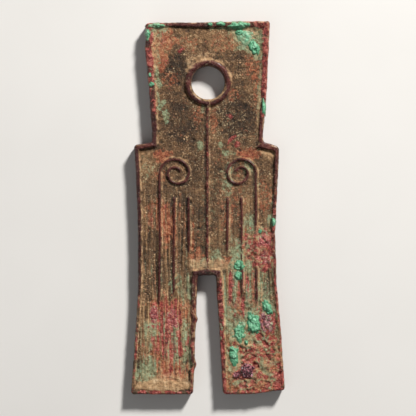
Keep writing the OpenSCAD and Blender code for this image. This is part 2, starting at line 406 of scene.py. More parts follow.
# Each row is an oval of the stain: X, Y, half sizes, strength, and a turn where it has one. The rows go from
# the head to the feet, and wide washes come last.
STAIN_ROWS: dict[Stain, tuple[Numbers, ...]] = {
    Stain.EMBER: (
        (-7.2, 26.4, 2.4, 2.4, 0.6), (-7.2, 22.9, 1.1, 2, 0.7), (-3.2, 25.4, 2.4, 1.6, 0.3),
        (2.6, 25.6, 2.4, 1.6, 0.3), (-6, 19.8, 1.6, 1.4, 0.36), (7, 22, 1.3, 3, 0.45),
        (7.6, 17.4, 0.7, 4, 0.4), (3.9, 17.4, 1, 1.2, 0.4), (-1.6, 14.4, 1.2, 1.6, 0.4),
        (0.9, 13.4, 0.6, 2.4, 0.45), (-7.1, 8, 1.7, 1.1, 0.85), (-7.4, 5, 1.4, 1.2, 0.45),
        (-8.2, -1, 1.8, 3, 0.4), (-6.2, -2, 1.4, 3.6, 0.36), (-4.6, -4.4, 2.4, 5, 0.26),
        (-2.2, -6.2, 1, 3.4, 0.26), (6.4, 8.3, 2.2, 1, 0.65), (3.6, 0, 2.4, 6, 0.3),
        (8.8, 1.6, 1.4, 3.2, 0.4), (8, -6.6, 2.8, 2.8, 0.65), (2.6, -8, 1.9, 0.9, 0.6),
        (-1.6, -7.4, 1.4, 1, 0.4), (-6, -17, 4, 3.6, 0.75), (-6.4, -22.4, 4.2, 4.4, 0.55),
        (-5.4, -25.4, 2.8, 2.2, 0.85), (5.4, -13.4, 3.8, 4, 0.46), (4.7, -14.4, 0.5, 2.2, 0.7),
        (7, -23.4, 4.8, 5, 0.66), (7, -27.4, 4.6, 1.2, 0.8), (0, 18, 11, 12, 0.14), (-6, -8, 6, 14, 0.18),
        (5, 2, 7, 10, 0.16),
    ),
    Stain.FILM: (
        (-8, 26.9, 1.8, 1.6, 0.5), (-7.8, 22.4, 0.5, 2.6, 0.55), (-7.6, 19.2, 0.5, 0.9, 0.85, 25),
        (-7.85, 20.8, 0.26, 1.7, 0.8, 8), (-7.2, 15.9, 0.5, 1.1, 0.85, -40), (-7.7, 17, 0.24, 1.2, 0.7, 6),
        (-6.5, 14.4, 0.55, 1.3, 0.95, 8), (8, 26.7, 1.2, 1.6, 0.65), (5.4, 25.4, 1.8, 1.2, 0.4),
        (7.9, 18, 0.35, 6, 0.6, -2.7), (-0.9, 15.3, 0.6, 0.7, 0.5), (-1.2, 9.6, 0.7, 0.9, 0.8),
        (1.9, 9.8, 0.4, 0.5, 0.75), (-9.4, 6.2, 1.2, 2.4, 0.35), (3, 8.5, 1.3, 0.5, 0.7),
        (3.1, 3.6, 0.9, 3.6, 0.5), (6.2, 6.4, 0.8, 1.2, 0.6), (6.4, -2.6, 1.1, 1.9, 0.6),
        (9.9, -0.2, 0.6, 3, 0.35), (4.7, -6.5, 1.1, 1.6, 0.8), (6.8, -5.8, 1, 1.2, 0.7),
        (5, -7.6, 2.4, 3, 0.5), (8.3, -3.9, 1.1, 0.8, 0.6), (8.4, -7.4, 2.6, 2.6, 0.48),
        (-0.9, -8.6, 1.8, 0.9, 0.5), (1.2, -7.4, 1.2, 1.1, 0.6), (-3.6, -12.2, 1.5, 2.6, 0.46),
        (-5.5, -11.3, 0.2, 1.1, 0.95, -48), (-4.9, -12, 0.18, 0.9, 0.9, -50), (-6.4, -18.6, 3.4, 2.4, 0.58),
        (-4.6, -21.4, 2.4, 3.4, 0.55, 10), (-9.2, -21.4, 1.6, 5, 0.34), (-3, -20, 0.5, 6, 0.4, 2),
        (-9.4, -25.4, 2.2, 2.4, 0.66), (6.2, -17.6, 4.4, 3.4, 0.45), (5.4, -12.4, 4.4, 3.6, 0.44),
        (4.1, -12.6, 0.3, 3.2, 0.8), (6.3, -13.2, 0.35, 3, 0.8), (2.9, -15, 0.6, 4.6, 0.6, 3),
        (7.2, -23.6, 4.4, 3.8, 0.52), (5.4, -27, 2.1, 0.5, 0.95, 6), (8.6, -24.6, 0.7, 1.6, 0.7, 20),
        (3.5, -24.8, 0.4, 1.6, 0.75), (-6, -6, 6, 10, 0.16), (5, 0, 7, 9, 0.2), (-6.4, -20, 6, 10, 0.24),
        (6.4, -16, 6.5, 9, 0.25),
    ),
    Stain.SOIL: (
        (-7.6, 25.6, 1.6, 3, 0.3), (6.6, 27.4, 1.6, 0.7, 0.6), (7.95, 17, 0.3, 7.5, 0.6, -2.7),
        (-1.4, 23.2, 2.6, 0.65, 0.6, 14), (0.4, 24.1, 0.9, 0.6, 0.45), (2.4, 22.2, 0.6, 1.6, 0.45, 42),
        # (9.4, 8.4) lays pale soil over the cast shadow under the right shoulder's rim: painted light
        (9.4, 8.4, 1.5, 0.6, 0.7, -12), (7.8, -6, 3.2, 3.4, 0.34), (-1.6, -8.7, 1.9, 1, 0.6),
        (1.6, -8.7, 2.2, 1, 0.6), (-5.3, -10.7, 0.16, 0.8, 0.8, -45), (-7, -27.5, 5.6, 0.9, 1),
        (-6.2, -26.9, 5, 1.3, 0.45), (-5.6, -25.6, 3.4, 2.4, 0.25), (5, -17, 3.4, 4.4, 0.14),
        (8.3, -13.4, 0.18, 2.6, 0.6, 2), (7.2, -24.4, 4.4, 3.8, 0.32), (5.6, -20.8, 1.7, 0.5, 0.55, -10),
        (7, -27, 4.4, 0.6, 0.35, 4),
    ),
    Stain.SHADE: (
        (-7.4, 25.6, 2.2, 4.2, -1.2), (1.5, 26, 6.5, 2, -0.8), (6.4, 20, 1.4, 7, -0.1),
        (-5, 21.6, 2.2, 3.2, 1.35), (-3.6, 13, 3.2, 3.4, 0.9), (4.4, 14.2, 3.2, 4, 1.3),
        (4.8, 23.4, 1.8, 1.6, 0.5), (-4.4, 16.6, 2, 1.4, 0.5), (-0.9, 25, 1.2, 0.8, 0.7),
        # (9.4, 8.5) lightens the cast shadow under the right shoulder's rim: painted light
        (-9.6, 7.2, 1.6, 2.6, -0.7), (-7.6, -8, 3.4, 6, 0.35), (9.4, 8.5, 1.6, 0.9, -1.4, -12),
        (6.4, 0.4, 1, 1.3, -0.7), (7.6, -6.6, 3.6, 3.8, -1), (-1.9, 6.6, 1.5, 3.2, 0.6),
        (1.4, 4.4, 0.9, 4, 0.4), (4.2, -2, 0.9, 3.4, 0.4), (-3.6, -2.4, 3.4, 6.4, 0.65),
        (-6.8, -26.6, 5.4, 2.2, -1.5), (-6, -18.5, 4.4, 5.4, -1.3), (6.6, -18, 5, 8.5, -0.12),
        (7.2, -24, 5, 5.4, -1.8), (8.9, -12.4, 0.6, 2, 0.6),
    ),
    Stain.RED: (
        (-6.6, 26, 1.6, 1.6, 0.35), (-6.6, 22.4, 0.7, 1.1, 0.4), (-4.3, 24.4, 0.7, 0.45, 0.7, 35),
        (0.9, 26.4, 0.4, 0.3, 0.5), (1.4, 25.3, 0.4, 0.3, 0.5, 30), (-6, 18.6, 0.6, 0.4, 0.4),
        (3.3, 14.2, 0.6, 0.5, 0.5), (3.6, 10.6, 1.1, 0.35, 0.75, 45), (4.5, 9.9, 0.6, 0.7, 0.75, -30),
        (-2, 17.2, 1.2, 0.5, 0.6, -35), (-7.1, 8.3, 1, 0.6, 0.36), (-8.5, -0.9, 1.3, 2.6, 0.34),
        (-6.4, -1.6, 1, 2.4, 0.3), (6.8, 8.2, 1.4, 0.5, 0.4), (2.4, 8, 0.9, 0.4, 0.5, -20),
        (6, -5.2, 1.6, 1.2, 0.5), (8.6, -5.4, 2.8, 2.6, 0.66), (7.2, -7.2, 1.8, 1.7, 0.5),
        (8.8, -9, 1.6, 0.9, 0.6), (-6.4, -16.2, 3.2, 3, 0.54), (-6, -21, 3.4, 3.2, 0.45),
        (-5.6, -25.6, 2.2, 1.6, 0.4), (3.4, -12, 0.26, 3, 0.85), (5.4, -15.6, 0.3, 1.8, 0.85),
        (5, -13.6, 4.2, 4.4, 0.36), (8.8, -17.4, 1.9, 2.6, 0.8), (7.6, -22.2, 4.2, 3.4, 0.52),
        (11, -26.2, 0.9, 2.4, 0.85), (6, -25.1, 1.7, 1.8, 0.8), (4.2, -25.7, 0.9, 0.9, 0.75),
        (-6.4, -20, 6, 9, 0.12), (6.8, -15, 6.5, 13, 0.16),
    ),
}


# The casting


@dataclass
class CoinPlan:
    """Plan of the coin: a net of rows and columns that follows the outline, with a round net at the hole.

    The columns fall into five bands: left shoulder, left panel, slot, right panel and right shoulder. The
    rows fall into three: head, body and legs. The head has no shoulder bands, the legs have no slot band.
    Lengths are millimetres; a line such as head_left lists Y and X by turns, from the head down. A fin is
    its reach, its Y and its width.
    """

    columns: tuple[int, ...] = (20, 56, 24, 56, 20)
    rows: tuple[int, ...] = (132, 148, 130)
    top_y: float = 28.72
    top_tilt: float = 0.3
    shoulder_y: float = 10.2
    slot_y: float = -10.38
    foot_y: float = -28.8
    head_left: Numbers = (28.8, -9.55, 24.4, -9.72, 22.0, -9.42, 18.2, -9.1, 12.0, -8.66, 10.0, -8.62)
    head_right: Numbers = (28.8, 9.57, 23.0, 9.3, 18.2, 9.1, 15.0, 8.8, 12.0, 8.52, 10.0, 8.47)
    side_left: Numbers = (10.0, -11.42, 4.8, -11.12, -1.0, -10.86, -12.6, -10.8, -17.6, -11.1, -28.8, -11.88)
    side_right: Numbers = (10.0, 11.0, 4.0, 10.76, -3.6, 10.36, -12.0, 10.6, -18.6, 11.2, -28.8, 11.88)
    slot_left: Numbers = (-10.4, -1.62, -28.8, -2.34)
    slot_right: Numbers = (-10.4, 1.24, -28.8, 2.36)
    panel_left: Numbers = (10.0, -8.62, -10.4, -8.3, -28.8, -9.2)
    panel_right: Numbers = (10.0, 8.47, -10.4, 8.1, -28.8, 9.2)
    shoulder_drops: Numbers = (-0.45, -0.08, 0.06, -0.72)
    foot_rise: float = 0.62
    corner_r: float = 0.45
    fins: tuple[Numbers, ...] = ((0.22, -17.2, 0.45), (0.3, -24.2, 0.7))
    hole_x: float = 0.0
    hole_y: float = 19.375
    mouth_r: float = 2.62
    ring_r: float = 3.95
    net_half: float = 4.7
    square_rings: int = 8
    round_rings: int = 12
    path_step: int = 4

    def __post_init__(self) -> None:
        """Works out the net, its places and the outline."""
        self.band = np.concatenate([[0], np.cumsum(self.columns)])
        self.level = np.concatenate([[0], np.cumsum(self.rows)])
        self.wide = int(self.band[-1]) + 1
        self.tall = int(self.level[-1]) + 1
        self.grid = np.arange(self.wide * self.tall).reshape(self.tall, self.wide)
        self.x, self.y = self._places()
        self._find_hole_net()
        self.outline = self._outline_ids()
        self._round_corners()
        self._roughen()
        self._add_rings()
        self.edge_path = self._closed(self.outline[:: self.path_step])

    def _line(self, pairs: Numbers, y: Array) -> Array:
        """X of a line at each Y, straight between the listed places."""
        listed_y, listed_x = np.array(pairs[::2]), np.array(pairs[1::2])
        return np.interp(-y, -listed_y, listed_x)

    def _closed(self, ids: Array) -> Array:
        """Places of a loop of points, with the first one again at the end."""
        ring = np.append(ids, ids[0])
        return np.stack([self.x[ring], self.y[ring]], axis=1)

    def _places(self) -> Arrays:
        """X and Y of the net's points.

        Formula: a point's X lies at its column's share between the two lines of its band, at the row's Y.
        Its Y is the row's Y plus a shift that is worked out on the four border rows and shared out between.

        Returns:
            X and Y, flat.
        """
        marks = (self.top_y, self.shoulder_y, self.slot_y, self.foot_y)
        levels = [np.linspace(a, b, n, endpoint=False) for a, b, n in zip(marks, marks[1:], self.rows)]
        row_y = np.concatenate(levels + [[self.foot_y]])
        in_head = row_y > self.shoulder_y
        sides = [self._line(line, row_y) for line in (self.side_left, self.side_right)]
        heads = [self._line(line, row_y) for line in (self.head_left, self.head_right)]
        panels = [self._line(line, row_y) for line in (self.panel_left, self.panel_right)]
        left, right = (np.where(in_head, *pair) for pair in zip(heads, panels))
        slot = [
            np.where(row_y > self.slot_y, line[1], self._line(line, row_y))
            for line in (self.slot_left, self.slot_right)
        ]
        lines = np.stack([sides[0], left, *slot, right, sides[1]], axis=1)
        column = np.arange(self.wide)
        place = np.interp(column, self.band, np.arange(len(self.band)))
        low = np.minimum(place.astype(int), len(self.columns) - 1)
        share = place - low
        x = lines[:, low] * (1.0 - share) + lines[:, low + 1] * share
        right_x = lines[-1, -1]
        top_shift = self.top_tilt * x[0] / (2.0 * self.head_right[1])
        shoulder_shift = np.interp(place, (0, 1, 4, 5), self.shoulder_drops)
        foot_shift = self.foot_rise * rise(0.5, 1.0, x[-1] / right_x)
        shifts = np.stack([top_shift, shoulder_shift, np.zeros(self.wide), foot_shift])
        along = np.interp(np.arange(self.tall), self.level, np.arange(len(self.level)))
        above = np.minimum(along.astype(int), len(self.rows) - 1)
        part = (along - above)[:, None]
        y = row_y[:, None] + shifts[above] * (1.0 - part) + shifts[above + 1] * part
        return x.ravel(), y.ravel()

    def _find_hole_net(self) -> None:
        """Picks the even rows and columns of the square around the hole, and its loop against the clock."""
        x, y = self.x.reshape(self.grid.shape), self.y.reshape(self.grid.shape)
        middle = int(self.level[1]) // 2
        row_y = y[: self.level[1], self.wide // 2]
        half, grid = self.net_half, self.grid
        self.hole_rows = [nearest_even(row_y, self.hole_y + side * half) for side in (1, -1)]
        self.hole_columns = [nearest_even(x[middle], self.hole_x + side * half) for side in (-1, 1)]
        (r0, r1), (c0, c1) = self.hole_rows, self.hole_columns
        sides = (grid[r0:r1, c0], grid[r1, c0:c1], grid[r1:r0:-1, c1], grid[r0, c1:c0:-1])
        self.hole_loop = np.concatenate(sides)

    def _outline_ids(self) -> Array:
        """Lists the outline's edges, against the clock from the head's top left corner.

        Returns:
            Their points in order.
        """
        b, v, grid = self.band, self.level, self.grid
        self.edges = {
            "head_left": grid[v[0] : v[1], b[1]],
            "shoulder_left": grid[v[1], b[1] : b[0] : -1],
            "side_left": grid[v[1] : v[3], b[0]],
            "foot_left": grid[v[3], b[0] : b[2]],
            "slot_left": grid[v[3] : v[2] : -1, b[2]],
            "slot_root": grid[v[2], b[2] : b[3]],
            "slot_right": grid[v[2] : v[3], b[3]],
            "foot_right": grid[v[3], b[3] : b[5]],
            "side_right": grid[v[3] : v[1] : -1, b[5]],
            "shoulder_right": grid[v[1], b[5] : b[4] : -1],
            "head_right": grid[v[1] : v[0] : -1, b[4]],
            "top": grid[v[0], b[4] : b[1] : -1],
        }
        return np.concatenate(list(self.edges.values()))

    def _round_corners(self) -> None:
        """Rounds the corners of the plan.

        Formula: an outer corner's square of side corner_r, with p and q as shares towards its two edges, is
        drawn into a quarter disc by the factor max(p, q) / hypot(p, q). An inner corner's points move out
        along its bisector, by a share that falls with the square of the distance.
        """
        names = list(self.edges)
        for before, after in zip(names, names[1:] + names[:1]):
            inner = before in ("head_left", "slot_left", "slot_root", "shoulder_right")
            shape = self._fill_inner if inner else self._round_outer
            shape(*self._frame_of(self.edges[after][0], self.edges[before][-4], self.edges[after][4]))

    def _frame_of(self, corner: int, before: int, after: int) -> Arrays:
        """Place of a corner, and the unit directions from it along its two edges.

        Args:
            corner: number of the corner's point.
            before, after: numbers of a point on each edge.

        Returns:
            The place and both directions.
        """
        place = np.array([self.x[corner], self.y[corner]])
        one = np.array([self.x[before], self.y[before]]) - place
        two = np.array([self.x[after], self.y[after]]) - place
        return place, one / np.linalg.norm(one), two / np.linalg.norm(two)

    def _round_outer(self, place: Array, one: Array, two: Array) -> None:
        """Draws the square at an outer corner into a quarter disc, as _round_corners says.

        Args:
            place: the corner.
            one, two: directions of its edges.
        """
        axes = np.stack([one, two], axis=1)
        off = np.stack([self.x, self.y]) - place[:, None]
        away = np.linalg.solve(axes, off)
        p, q = 1.0 - away[0] / self.corner_r, 1.0 - away[1] / self.corner_r
        near = (p > 0) & (q > 0) & (p < 1.3) & (q < 1.3)
        shrink = np.maximum(p, q) / np.maximum(np.hypot(p, q), 1e-9)
        drawn = np.stack([(1.0 - p * shrink) * self.corner_r, (1.0 - q * shrink) * self.corner_r])
        moved = place[:, None] + axes @ drawn
        self.x = np.where(near, moved[0], self.x)
        self.y = np.where(near, moved[1], self.y)

    def _fill_inner(self, place: Array, one: Array, two: Array) -> None:
        """Moves the points at an inner corner out along its bisector, as _round_corners says.

        Args:
            place: the corner.
            one, two: directions of its edges.
        """
        reach = 0.9 * self.corner_r
        bisector = (one + two) / np.linalg.norm(one + two)
        distance = np.hypot(self.x - place[0], self.y - place[1])
        share = 0.41 * reach * np.clip(1.0 - distance / reach, 0.0, 1.0) ** 2
        self.x += bisector[0] * share
        self.y += bisector[1] * share

    def _roughen(self) -> None:
        """Shifts the plan by soft noise, as a worn mould leaves it, with fins on the slot's left wall."""
        drift_x = 0.05 * fractal(self.x, self.y, 4.0, 11) + 0.06 * fractal(self.x, self.y, 0.9, 12, 2)
        drift_y = 0.05 * fractal(self.x, self.y, 4.0, 13) + 0.06 * fractal(self.x, self.y, 0.9, 14, 2)
        wall = self._line(self.slot_left, self.y)
        near_wall = bell(self.x, wall, 0.35) * (self.x < 0.0) * (self.y < self.slot_y)
        fins = sum(reach * bell(self.y, at, width) for reach, at, width in self.fins)
        self.x = self.x + drift_x + near_wall * fins
        self.y += drift_y

    def _add_rings(self) -> None:
        """Adds the round net at the hole.

        Formula: a ring's points lie between the square's points and their own directions on a circle, first
        from the square to the circle of ring_r, then from that circle to the hole's mouth.
        """
        count = self.square_rings + self.round_rings
        loop_x, loop_y = self.x[self.hole_loop], self.y[self.hole_loop]
        angle = np.arctan2(loop_y - self.hole_y, loop_x - self.hole_x)
        step = np.arange(1, count + 1)[:, None]
        square_share = np.clip(step / self.square_rings, 0.0, 1.0)
        round_share = np.clip((step - self.square_rings) / self.round_rings, 0.0, 1.0)
        radius = self.ring_r + (self.mouth_r - self.ring_r) * round_share
        circle_x = self.hole_x + radius * np.cos(angle)
        circle_y = self.hole_y + radius * np.sin(angle)
        ring_x = loop_x * (1.0 - square_share) + circle_x * square_share
        ring_y = loop_y * (1.0 - square_share) + circle_y * square_share
        ids = self.grid.size + np.arange(ring_x.size).reshape(ring_x.shape)
        self.rings = np.concatenate([self.hole_loop[None, :], ids])
        self.x = np.concatenate([self.x, ring_x.ravel()])
        self.y = np.concatenate([self.y, ring_y.ravel()])

    def filled(self) -> Array:
        """Which cells of the net are metal.

        Returns:
            True or False, rows by columns.
        """
        b, v = self.band, self.level
        cell = np.zeros((self.tall - 1, self.wide - 1), bool)
        cell[v[0] : v[1], b[1] : b[4]] = True
        cell[v[1] : v[2], :] = True
        cell[v[2] : v[3], : b[2]] = True
        cell[v[2] : v[3], b[3] :] = True
        cell[slice(*self.hole_rows), slice(*self.hole_columns)] = False
        return cell

    def sheet(self, stride: int) -> list[Array]:
        """Faces of one side of the coin, facing +Z, from every stride-th row, column and ring.

        Args:
            stride: 1 for the whole net, 2 for every second line of it.

        Returns:
            Blocks of four-cornered faces.
        """
        grid = self.grid[::stride, ::stride]
        row, column = np.nonzero(self.filled()[::stride, ::stride])
        corners = ((row, column), (row + 1, column), (row + 1, column + 1), (row, column + 1))
        plain = np.stack([grid[corner] for corner in corners], axis=1)
        rings = self.rings[::stride, ::stride]
        ahead = np.roll(rings, -1, axis=1)
        round_net = np.stack([rings[:-1], ahead[:-1], ahead[1:], rings[1:]], axis=2).reshape(-1, 4)
        return [plain, round_net]


def wall_faces(front: Array, back: Array, first_id: int, wall: "Wall") -> list[Array]:
    """Faces of a wall from a loop of the front to the loop of every second point of the back.

    Args:
        front: points of the front loop, against the clock.
        back: points of the back loop, half as many.
        first_id: number of the first point of the wall's own rows.
        wall: which wall; the hole's faces point inwards.

    Returns:
        A block of four-cornered faces and a block of triangles that close the last strip.
    """
    own = first_id + np.arange(wall.rows * front.size).reshape(wall.rows, front.size)
    levels = np.concatenate([front[None, :], own])
    ahead = np.roll(levels, -1, axis=1)
    quads = np.stack([levels[:-1], levels[1:], ahead[1:], ahead[:-1]], axis=2).reshape(-1, 4)
    last, middle, following = levels[-1, 0::2], levels[-1, 1::2], np.roll(levels[-1, 0::2], -1)
    back_ahead = np.roll(back, -1)
    strips = ((last, back, middle), (middle, back, back_ahead), (middle, back_ahead, following))
    triangles = np.concatenate([np.stack(strip, axis=1) for strip in strips])
    if wall.hole:
        return [quads[:, ::-1], triangles[:, ::-1]]
    return [quads, triangles]


class Draw(IntEnum):
    """Random fields of one side, as numbers that are added to the side's seed."""

    RIM_WEAR = 40
    RIM_NICKS = 41
    LINE_WAVER = 60
    GRAIN = 70
    BLOTCH = 80
    SWELL = 90
    RAGGED = 95
    BACK_SHADE = 97
    RIM_FILM = 99
    FURROW = 105
    HAIR = 107
    PIT = 110
    LUMP = 115
    GRANULE = 117
    KNOB = 119


# Rim along each edge of the outline: width at its start and end, and share of full height at both
RIM_ROWS: dict[str, Numbers] = {
    "head_left": (1.3, 0.8, 1.0, 1.0),
    "shoulder_left": (0.85, 0.8, 1.0, 1.0),
    "side_left": (0.7, 0.42, 1.0, 0.55),
    "foot_left": (0.4, 0.4, 0.4, 0.4),
    "slot_left": (0.55, 0.95, 0.6, 1.0),
    "slot_root": (0.95, 0.95, 1.0, 1.0),
    "slot_right": (0.95, 0.65, 1.0, 0.8),
    "foot_right": (0.4, 0.4, 0.45, 0.45),
    "side_right": (0.42, 0.65, 0.4, 1.0),
    "shoulder_right": (1.0, 1.0, 1.0, 1.0),
    "head_right": (0.75, 1.15, 1.0, 0.7),
    "top": (0.95, 0.55, 1.0, 0.65),
}


@dataclass
class CoinFace:
    """Forms of one side of the coin over its plan, in millimetres from that side's field.

    Heights are the same for both sides; the back has no scrolls and no ribs.
    """

    plan: CoinPlan
    front: bool = True
    recess: float = 0.45
    edge_round: float = 0.3
    edge_cut: float = 0.8
    collar_r: float = 3.12
    collar_half: float = 0.58
    collar_over: float = 1.05
    line_half: float = 0.29
    line_h: float = 0.34
    line_rise: float = 0.5
    line_fade: float = 1.6
    ridge_x: float = -0.1
    ridge_top_y: float = 16.2
    ridge_foot_y: float = -9.6
    scroll_x: float = 5.2
    scroll_y: float = 5.375
    scroll_r: float = 2.2
    scroll_step: float = 0.62
    scroll_turns: int = 3
    rib_pitch: float = 2.2
    rib_top_y: float = 1.975
    stem_bend_y: float = -5.0
    stem_foot_y: float = -15.7
    middle_foot_y: float = -14.1
    inner_foot_y: float = -7.6
    red_seed: int = 131

    def __post_init__(self) -> None:
        """Works out the rim's widths and heights along the outline, and the raised lines."""
        rows = [(RIM_ROWS[name], ids.size) for name, ids in self.plan.edges.items()]
        widths = [np.linspace(*row[:2], size) for row, size in rows]
        shares = [np.linspace(*row[2:], size) for row, size in rows]
        self.edge_w = np.concatenate(widths)[:: self.plan.path_step]
        self.edge_share = np.concatenate(shares)[:: self.plan.path_step]
        self.seed = 1 if self.front else 501
        ridge = [(self.ridge_x, self.ridge_top_y), (self.ridge_x, self.ridge_foot_y)]
        self.lines = [self._drawn(ridge, 40, 21)]
        if self.front:
            self.lines += self._ornament(1) + self._ornament(-1)

    def _drawn(self, corners: list[tuple[float, float]], count: int, seed: int) -> Array:
        """Line through corners with a hand's slight waver: even steps, moved by soft noise.

        Args:
            corners: X and Y of the corners.
            count: how many points the line gets.
            seed: random field of the waver.

        Returns:
            The points, one row each.
        """
        listed = np.array(corners, float)
        lengths = np.hypot(*np.diff(listed, axis=0).T)
        along = np.concatenate([[0.0], np.cumsum(lengths)])
        even = np.linspace(0.0, along[-1], count)
        x, y = np.interp(even, along, listed[:, 0]), np.interp(even, along, listed[:, 1])
        waver_x = 0.09 * noise(x, y, (5.0, 4.0), seed)
        waver_y = 0.06 * noise(x, y, (4.0, 4.0), seed + 1)
        return np.stack([x + waver_x, y + waver_y], axis=1)

    def _ornament(self, side: int) -> list[Array]:
        """Scroll, stem and ribs of one half of the face.

        Formula: a scroll is a row of half circles about two points by turns, each one step smaller.

        Args:
            side: 1 for the right half, -1 for the left.

        Returns:
            The centre lines.
        """
        turns = []
        for turn in range(self.scroll_turns - 1, -1, -1):
            radius = self.scroll_r - turn * self.scroll_step
            upper = turn % 2 == 0
            angle = np.linspace(np.pi, 0.0, 22) + (0.0 if upper else np.pi)
            middle_x = self.scroll_x + (0.0 if upper else -self.scroll_step)
            arc_x, arc_y = middle_x + radius * np.cos(angle), self.scroll_y + radius * np.sin(angle)
            turns.append(np.stack([arc_x, arc_y], axis=1))
        stem_x, inner_x = self.scroll_x + self.scroll_r, self.scroll_x - self.rib_pitch
        stem = np.array([[stem_x + 0.05, self.stem_bend_y], [stem_x + 0.15, self.stem_foot_y]])
        middle = np.array([[self.scroll_x, self.rib_top_y], [self.scroll_x + 0.1, self.middle_foot_y]])
        inner = np.array([[inner_x, self.rib_top_y], [inner_x, self.inner_foot_y]])
        ribs = ((np.concatenate(turns + [stem]), 90), (middle, 24), (inner, 24))
        return [
            self._drawn([(side * px, py) for px, py in rib], count, 31 + 7 * index + side)
            for index, (rib, count) in enumerate(ribs)
        ]

    def rim(self, x: Array, y: Array) -> Arrays:
        """Rim around the outline.

        Formula: a point's distance from the outline is counted in rim widths, stretched by soft noise. The
        rim stands at full height to three quarters of its width, then falls smoothly to 0 a little past it,
        from nearer and to further on the head's sides and the right leg; its outer edge is a quarter round.

        Args:
            x, y: the points.

        Returns:
            Height of the rim, what its round edge takes away, the distance in rim widths, and the side.
        """
        share, place, side = to_path(x, y, self.plan.edge_path, self.edge_w)
        piece = np.minimum(place.astype(int), self.edge_w.size - 1)
        share = self._squared(x, y, share, self.edge_w[piece])
        worn = 1.0 + 0.2 * noise(x, y, (1.5, 1.5), self.seed + Draw.RIM_WEAR)
        worn = worn + 0.14 * noise(x, y, (0.5, 0.5), self.seed + Draw.RIM_NICKS)
        gentle = 0.25 * highest(HEAD_SIDES.cover(np.abs(x), y), self.eaten_side(x, y))
        stands = rise(1.15 + gentle, 0.75 - gentle, share * worn)
        distance = share * self.edge_w[piece]
        short = np.clip(self.edge_round - distance, 0.0, self.edge_round)
        drop = self.edge_round - np.sqrt(self.edge_round**2 - short**2)
        return self.recess * self.edge_share[piece] * stands, self.edge_cut * drop, share, side

    def _squared(self, x: Array, y: Array, share: Array, width: Array) -> Array:
        """Makes the rim square where it goes around the slot's root and the feet of the head.

        Formula: past such a corner the longer of the two steps from it counts, and not the straight way.

        Args:
            x, y: the points.
            share: distance from the outline in rim widths.
            width: width of the nearest rim.

        Returns:
            The distance in rim widths, shorter past the four corners.
        """
        plan = self.plan
        _, left_drop, right_drop, _ = plan.shoulder_drops
        for corner_x, corner_y, side_x, side_y in (
            (plan.slot_left[1], plan.slot_y, -1, 1),
            (plan.slot_right[1], plan.slot_y, 1, 1),
            (plan.head_left[-1], plan.shoulder_y + left_drop, 1, -1),
            (plan.head_right[-1], plan.shoulder_y + right_drop, -1, -1),
        ):
            across, up = side_x * (x - corner_x), side_y * (y - corner_y)
            straight, longer = np.hypot(across, up), highest(across, up)
            past = (across > 0.0) & (up > 0.0) & (np.abs(straight / width - share) < 0.35)
            share = np.where(past, share - (straight - longer) / width, share)
        return share

    def raised_lines(self, x: Array, y: Array) -> Arrays:
        """Raised lines of the face.

        Formula: a line's section is (1 - (d / half)^2)^1.2, and its height wavers along it. The middle line
        keeps its height to both ends, and every other line fades in at its head and out at its foot.

        Args:
            x, y: the points.

        Returns:
            Height of the lines, the distance to the nearest, its side, and its own share of height.
        """
        height = np.zeros_like(x)
        stands = np.zeros_like(x)
        nearest = np.full_like(x, 9.0)
        lean = np.zeros_like(x)
        waver = 0.92 + 0.2 * noise(x, y, (1.6, 1.6), self.seed + Draw.LINE_WAVER)
        for index, line in enumerate(self.lines):
            distance, place, side = to_path(x, y, line)
            length = np.hypot(*np.diff(line, axis=0).T).sum()
            along = length * place / (len(line) - 1)
            head = rise(0.0, self.line_rise, along)
            fade = head * rise(length, length - self.line_fade, along) if index else 1.0
            across = np.clip(1.0 - (distance / self.line_half) ** 2, 0.0, 1.0) ** 1.2
            height = highest(height, self.line_h * across * fade * waver)
            closer = distance < nearest
            lean = np.where(closer, side, lean)
            stands = np.where(closer, fade, stands)
            nearest = np.minimum(nearest, distance)
        return height, nearest, lean, stands

    def collar(self, x: Array, y: Array) -> Arrays:
        """Collar around the hole: a ring whose section is (1 - (d / half)^2)^0.8.

        Args:
            x, y: the points.

        Returns:
            Its height, and the distance from the hole's middle.
        """
        radius = np.hypot(x - self.plan.hole_x, y - self.plan.hole_y)
        across = np.clip(1.0 - ((radius - self.collar_r) / self.collar_half) ** 2, 0.0, 1.0)
        return self.collar_over * self.recess * across**0.8, radius

    def eaten_side(self, x: Array, y: Array) -> Array:
        """Share of corrosion along the right leg's outer side, whose rim has lost its edge."""
        return EATEN_SIDE.cover(x, y) if self.front else np.zeros_like(x)

    def red_rims(self, x: Array, y: Array) -> Array:
        """Where rims carry red oxide: the upper head, the right side, the slot's right wall, the legs.

        Args:
            x, y: the points.

        Returns:
            Numbers from 0 to 1.
        """
        patches = fractal(x, y, 1.3, self.red_seed, 3)
        head = RED_HEAD.cover(np.abs(x) + 2.0 * patches, y + 3.0 * patches)
        legs = 0.42 * rise(-10.0, -14.0, y + 3.0 * patches)
        right = 0.5 * RED_SIDE.cover(x, y)
        slot = 0.45 * bell(x, 2.1, 1.1) * rise(-9.5, -11.0, y)
        return np.clip((head + legs + right + slot) * (1.0 + 1.2 * patches), 0.0, 1.0)


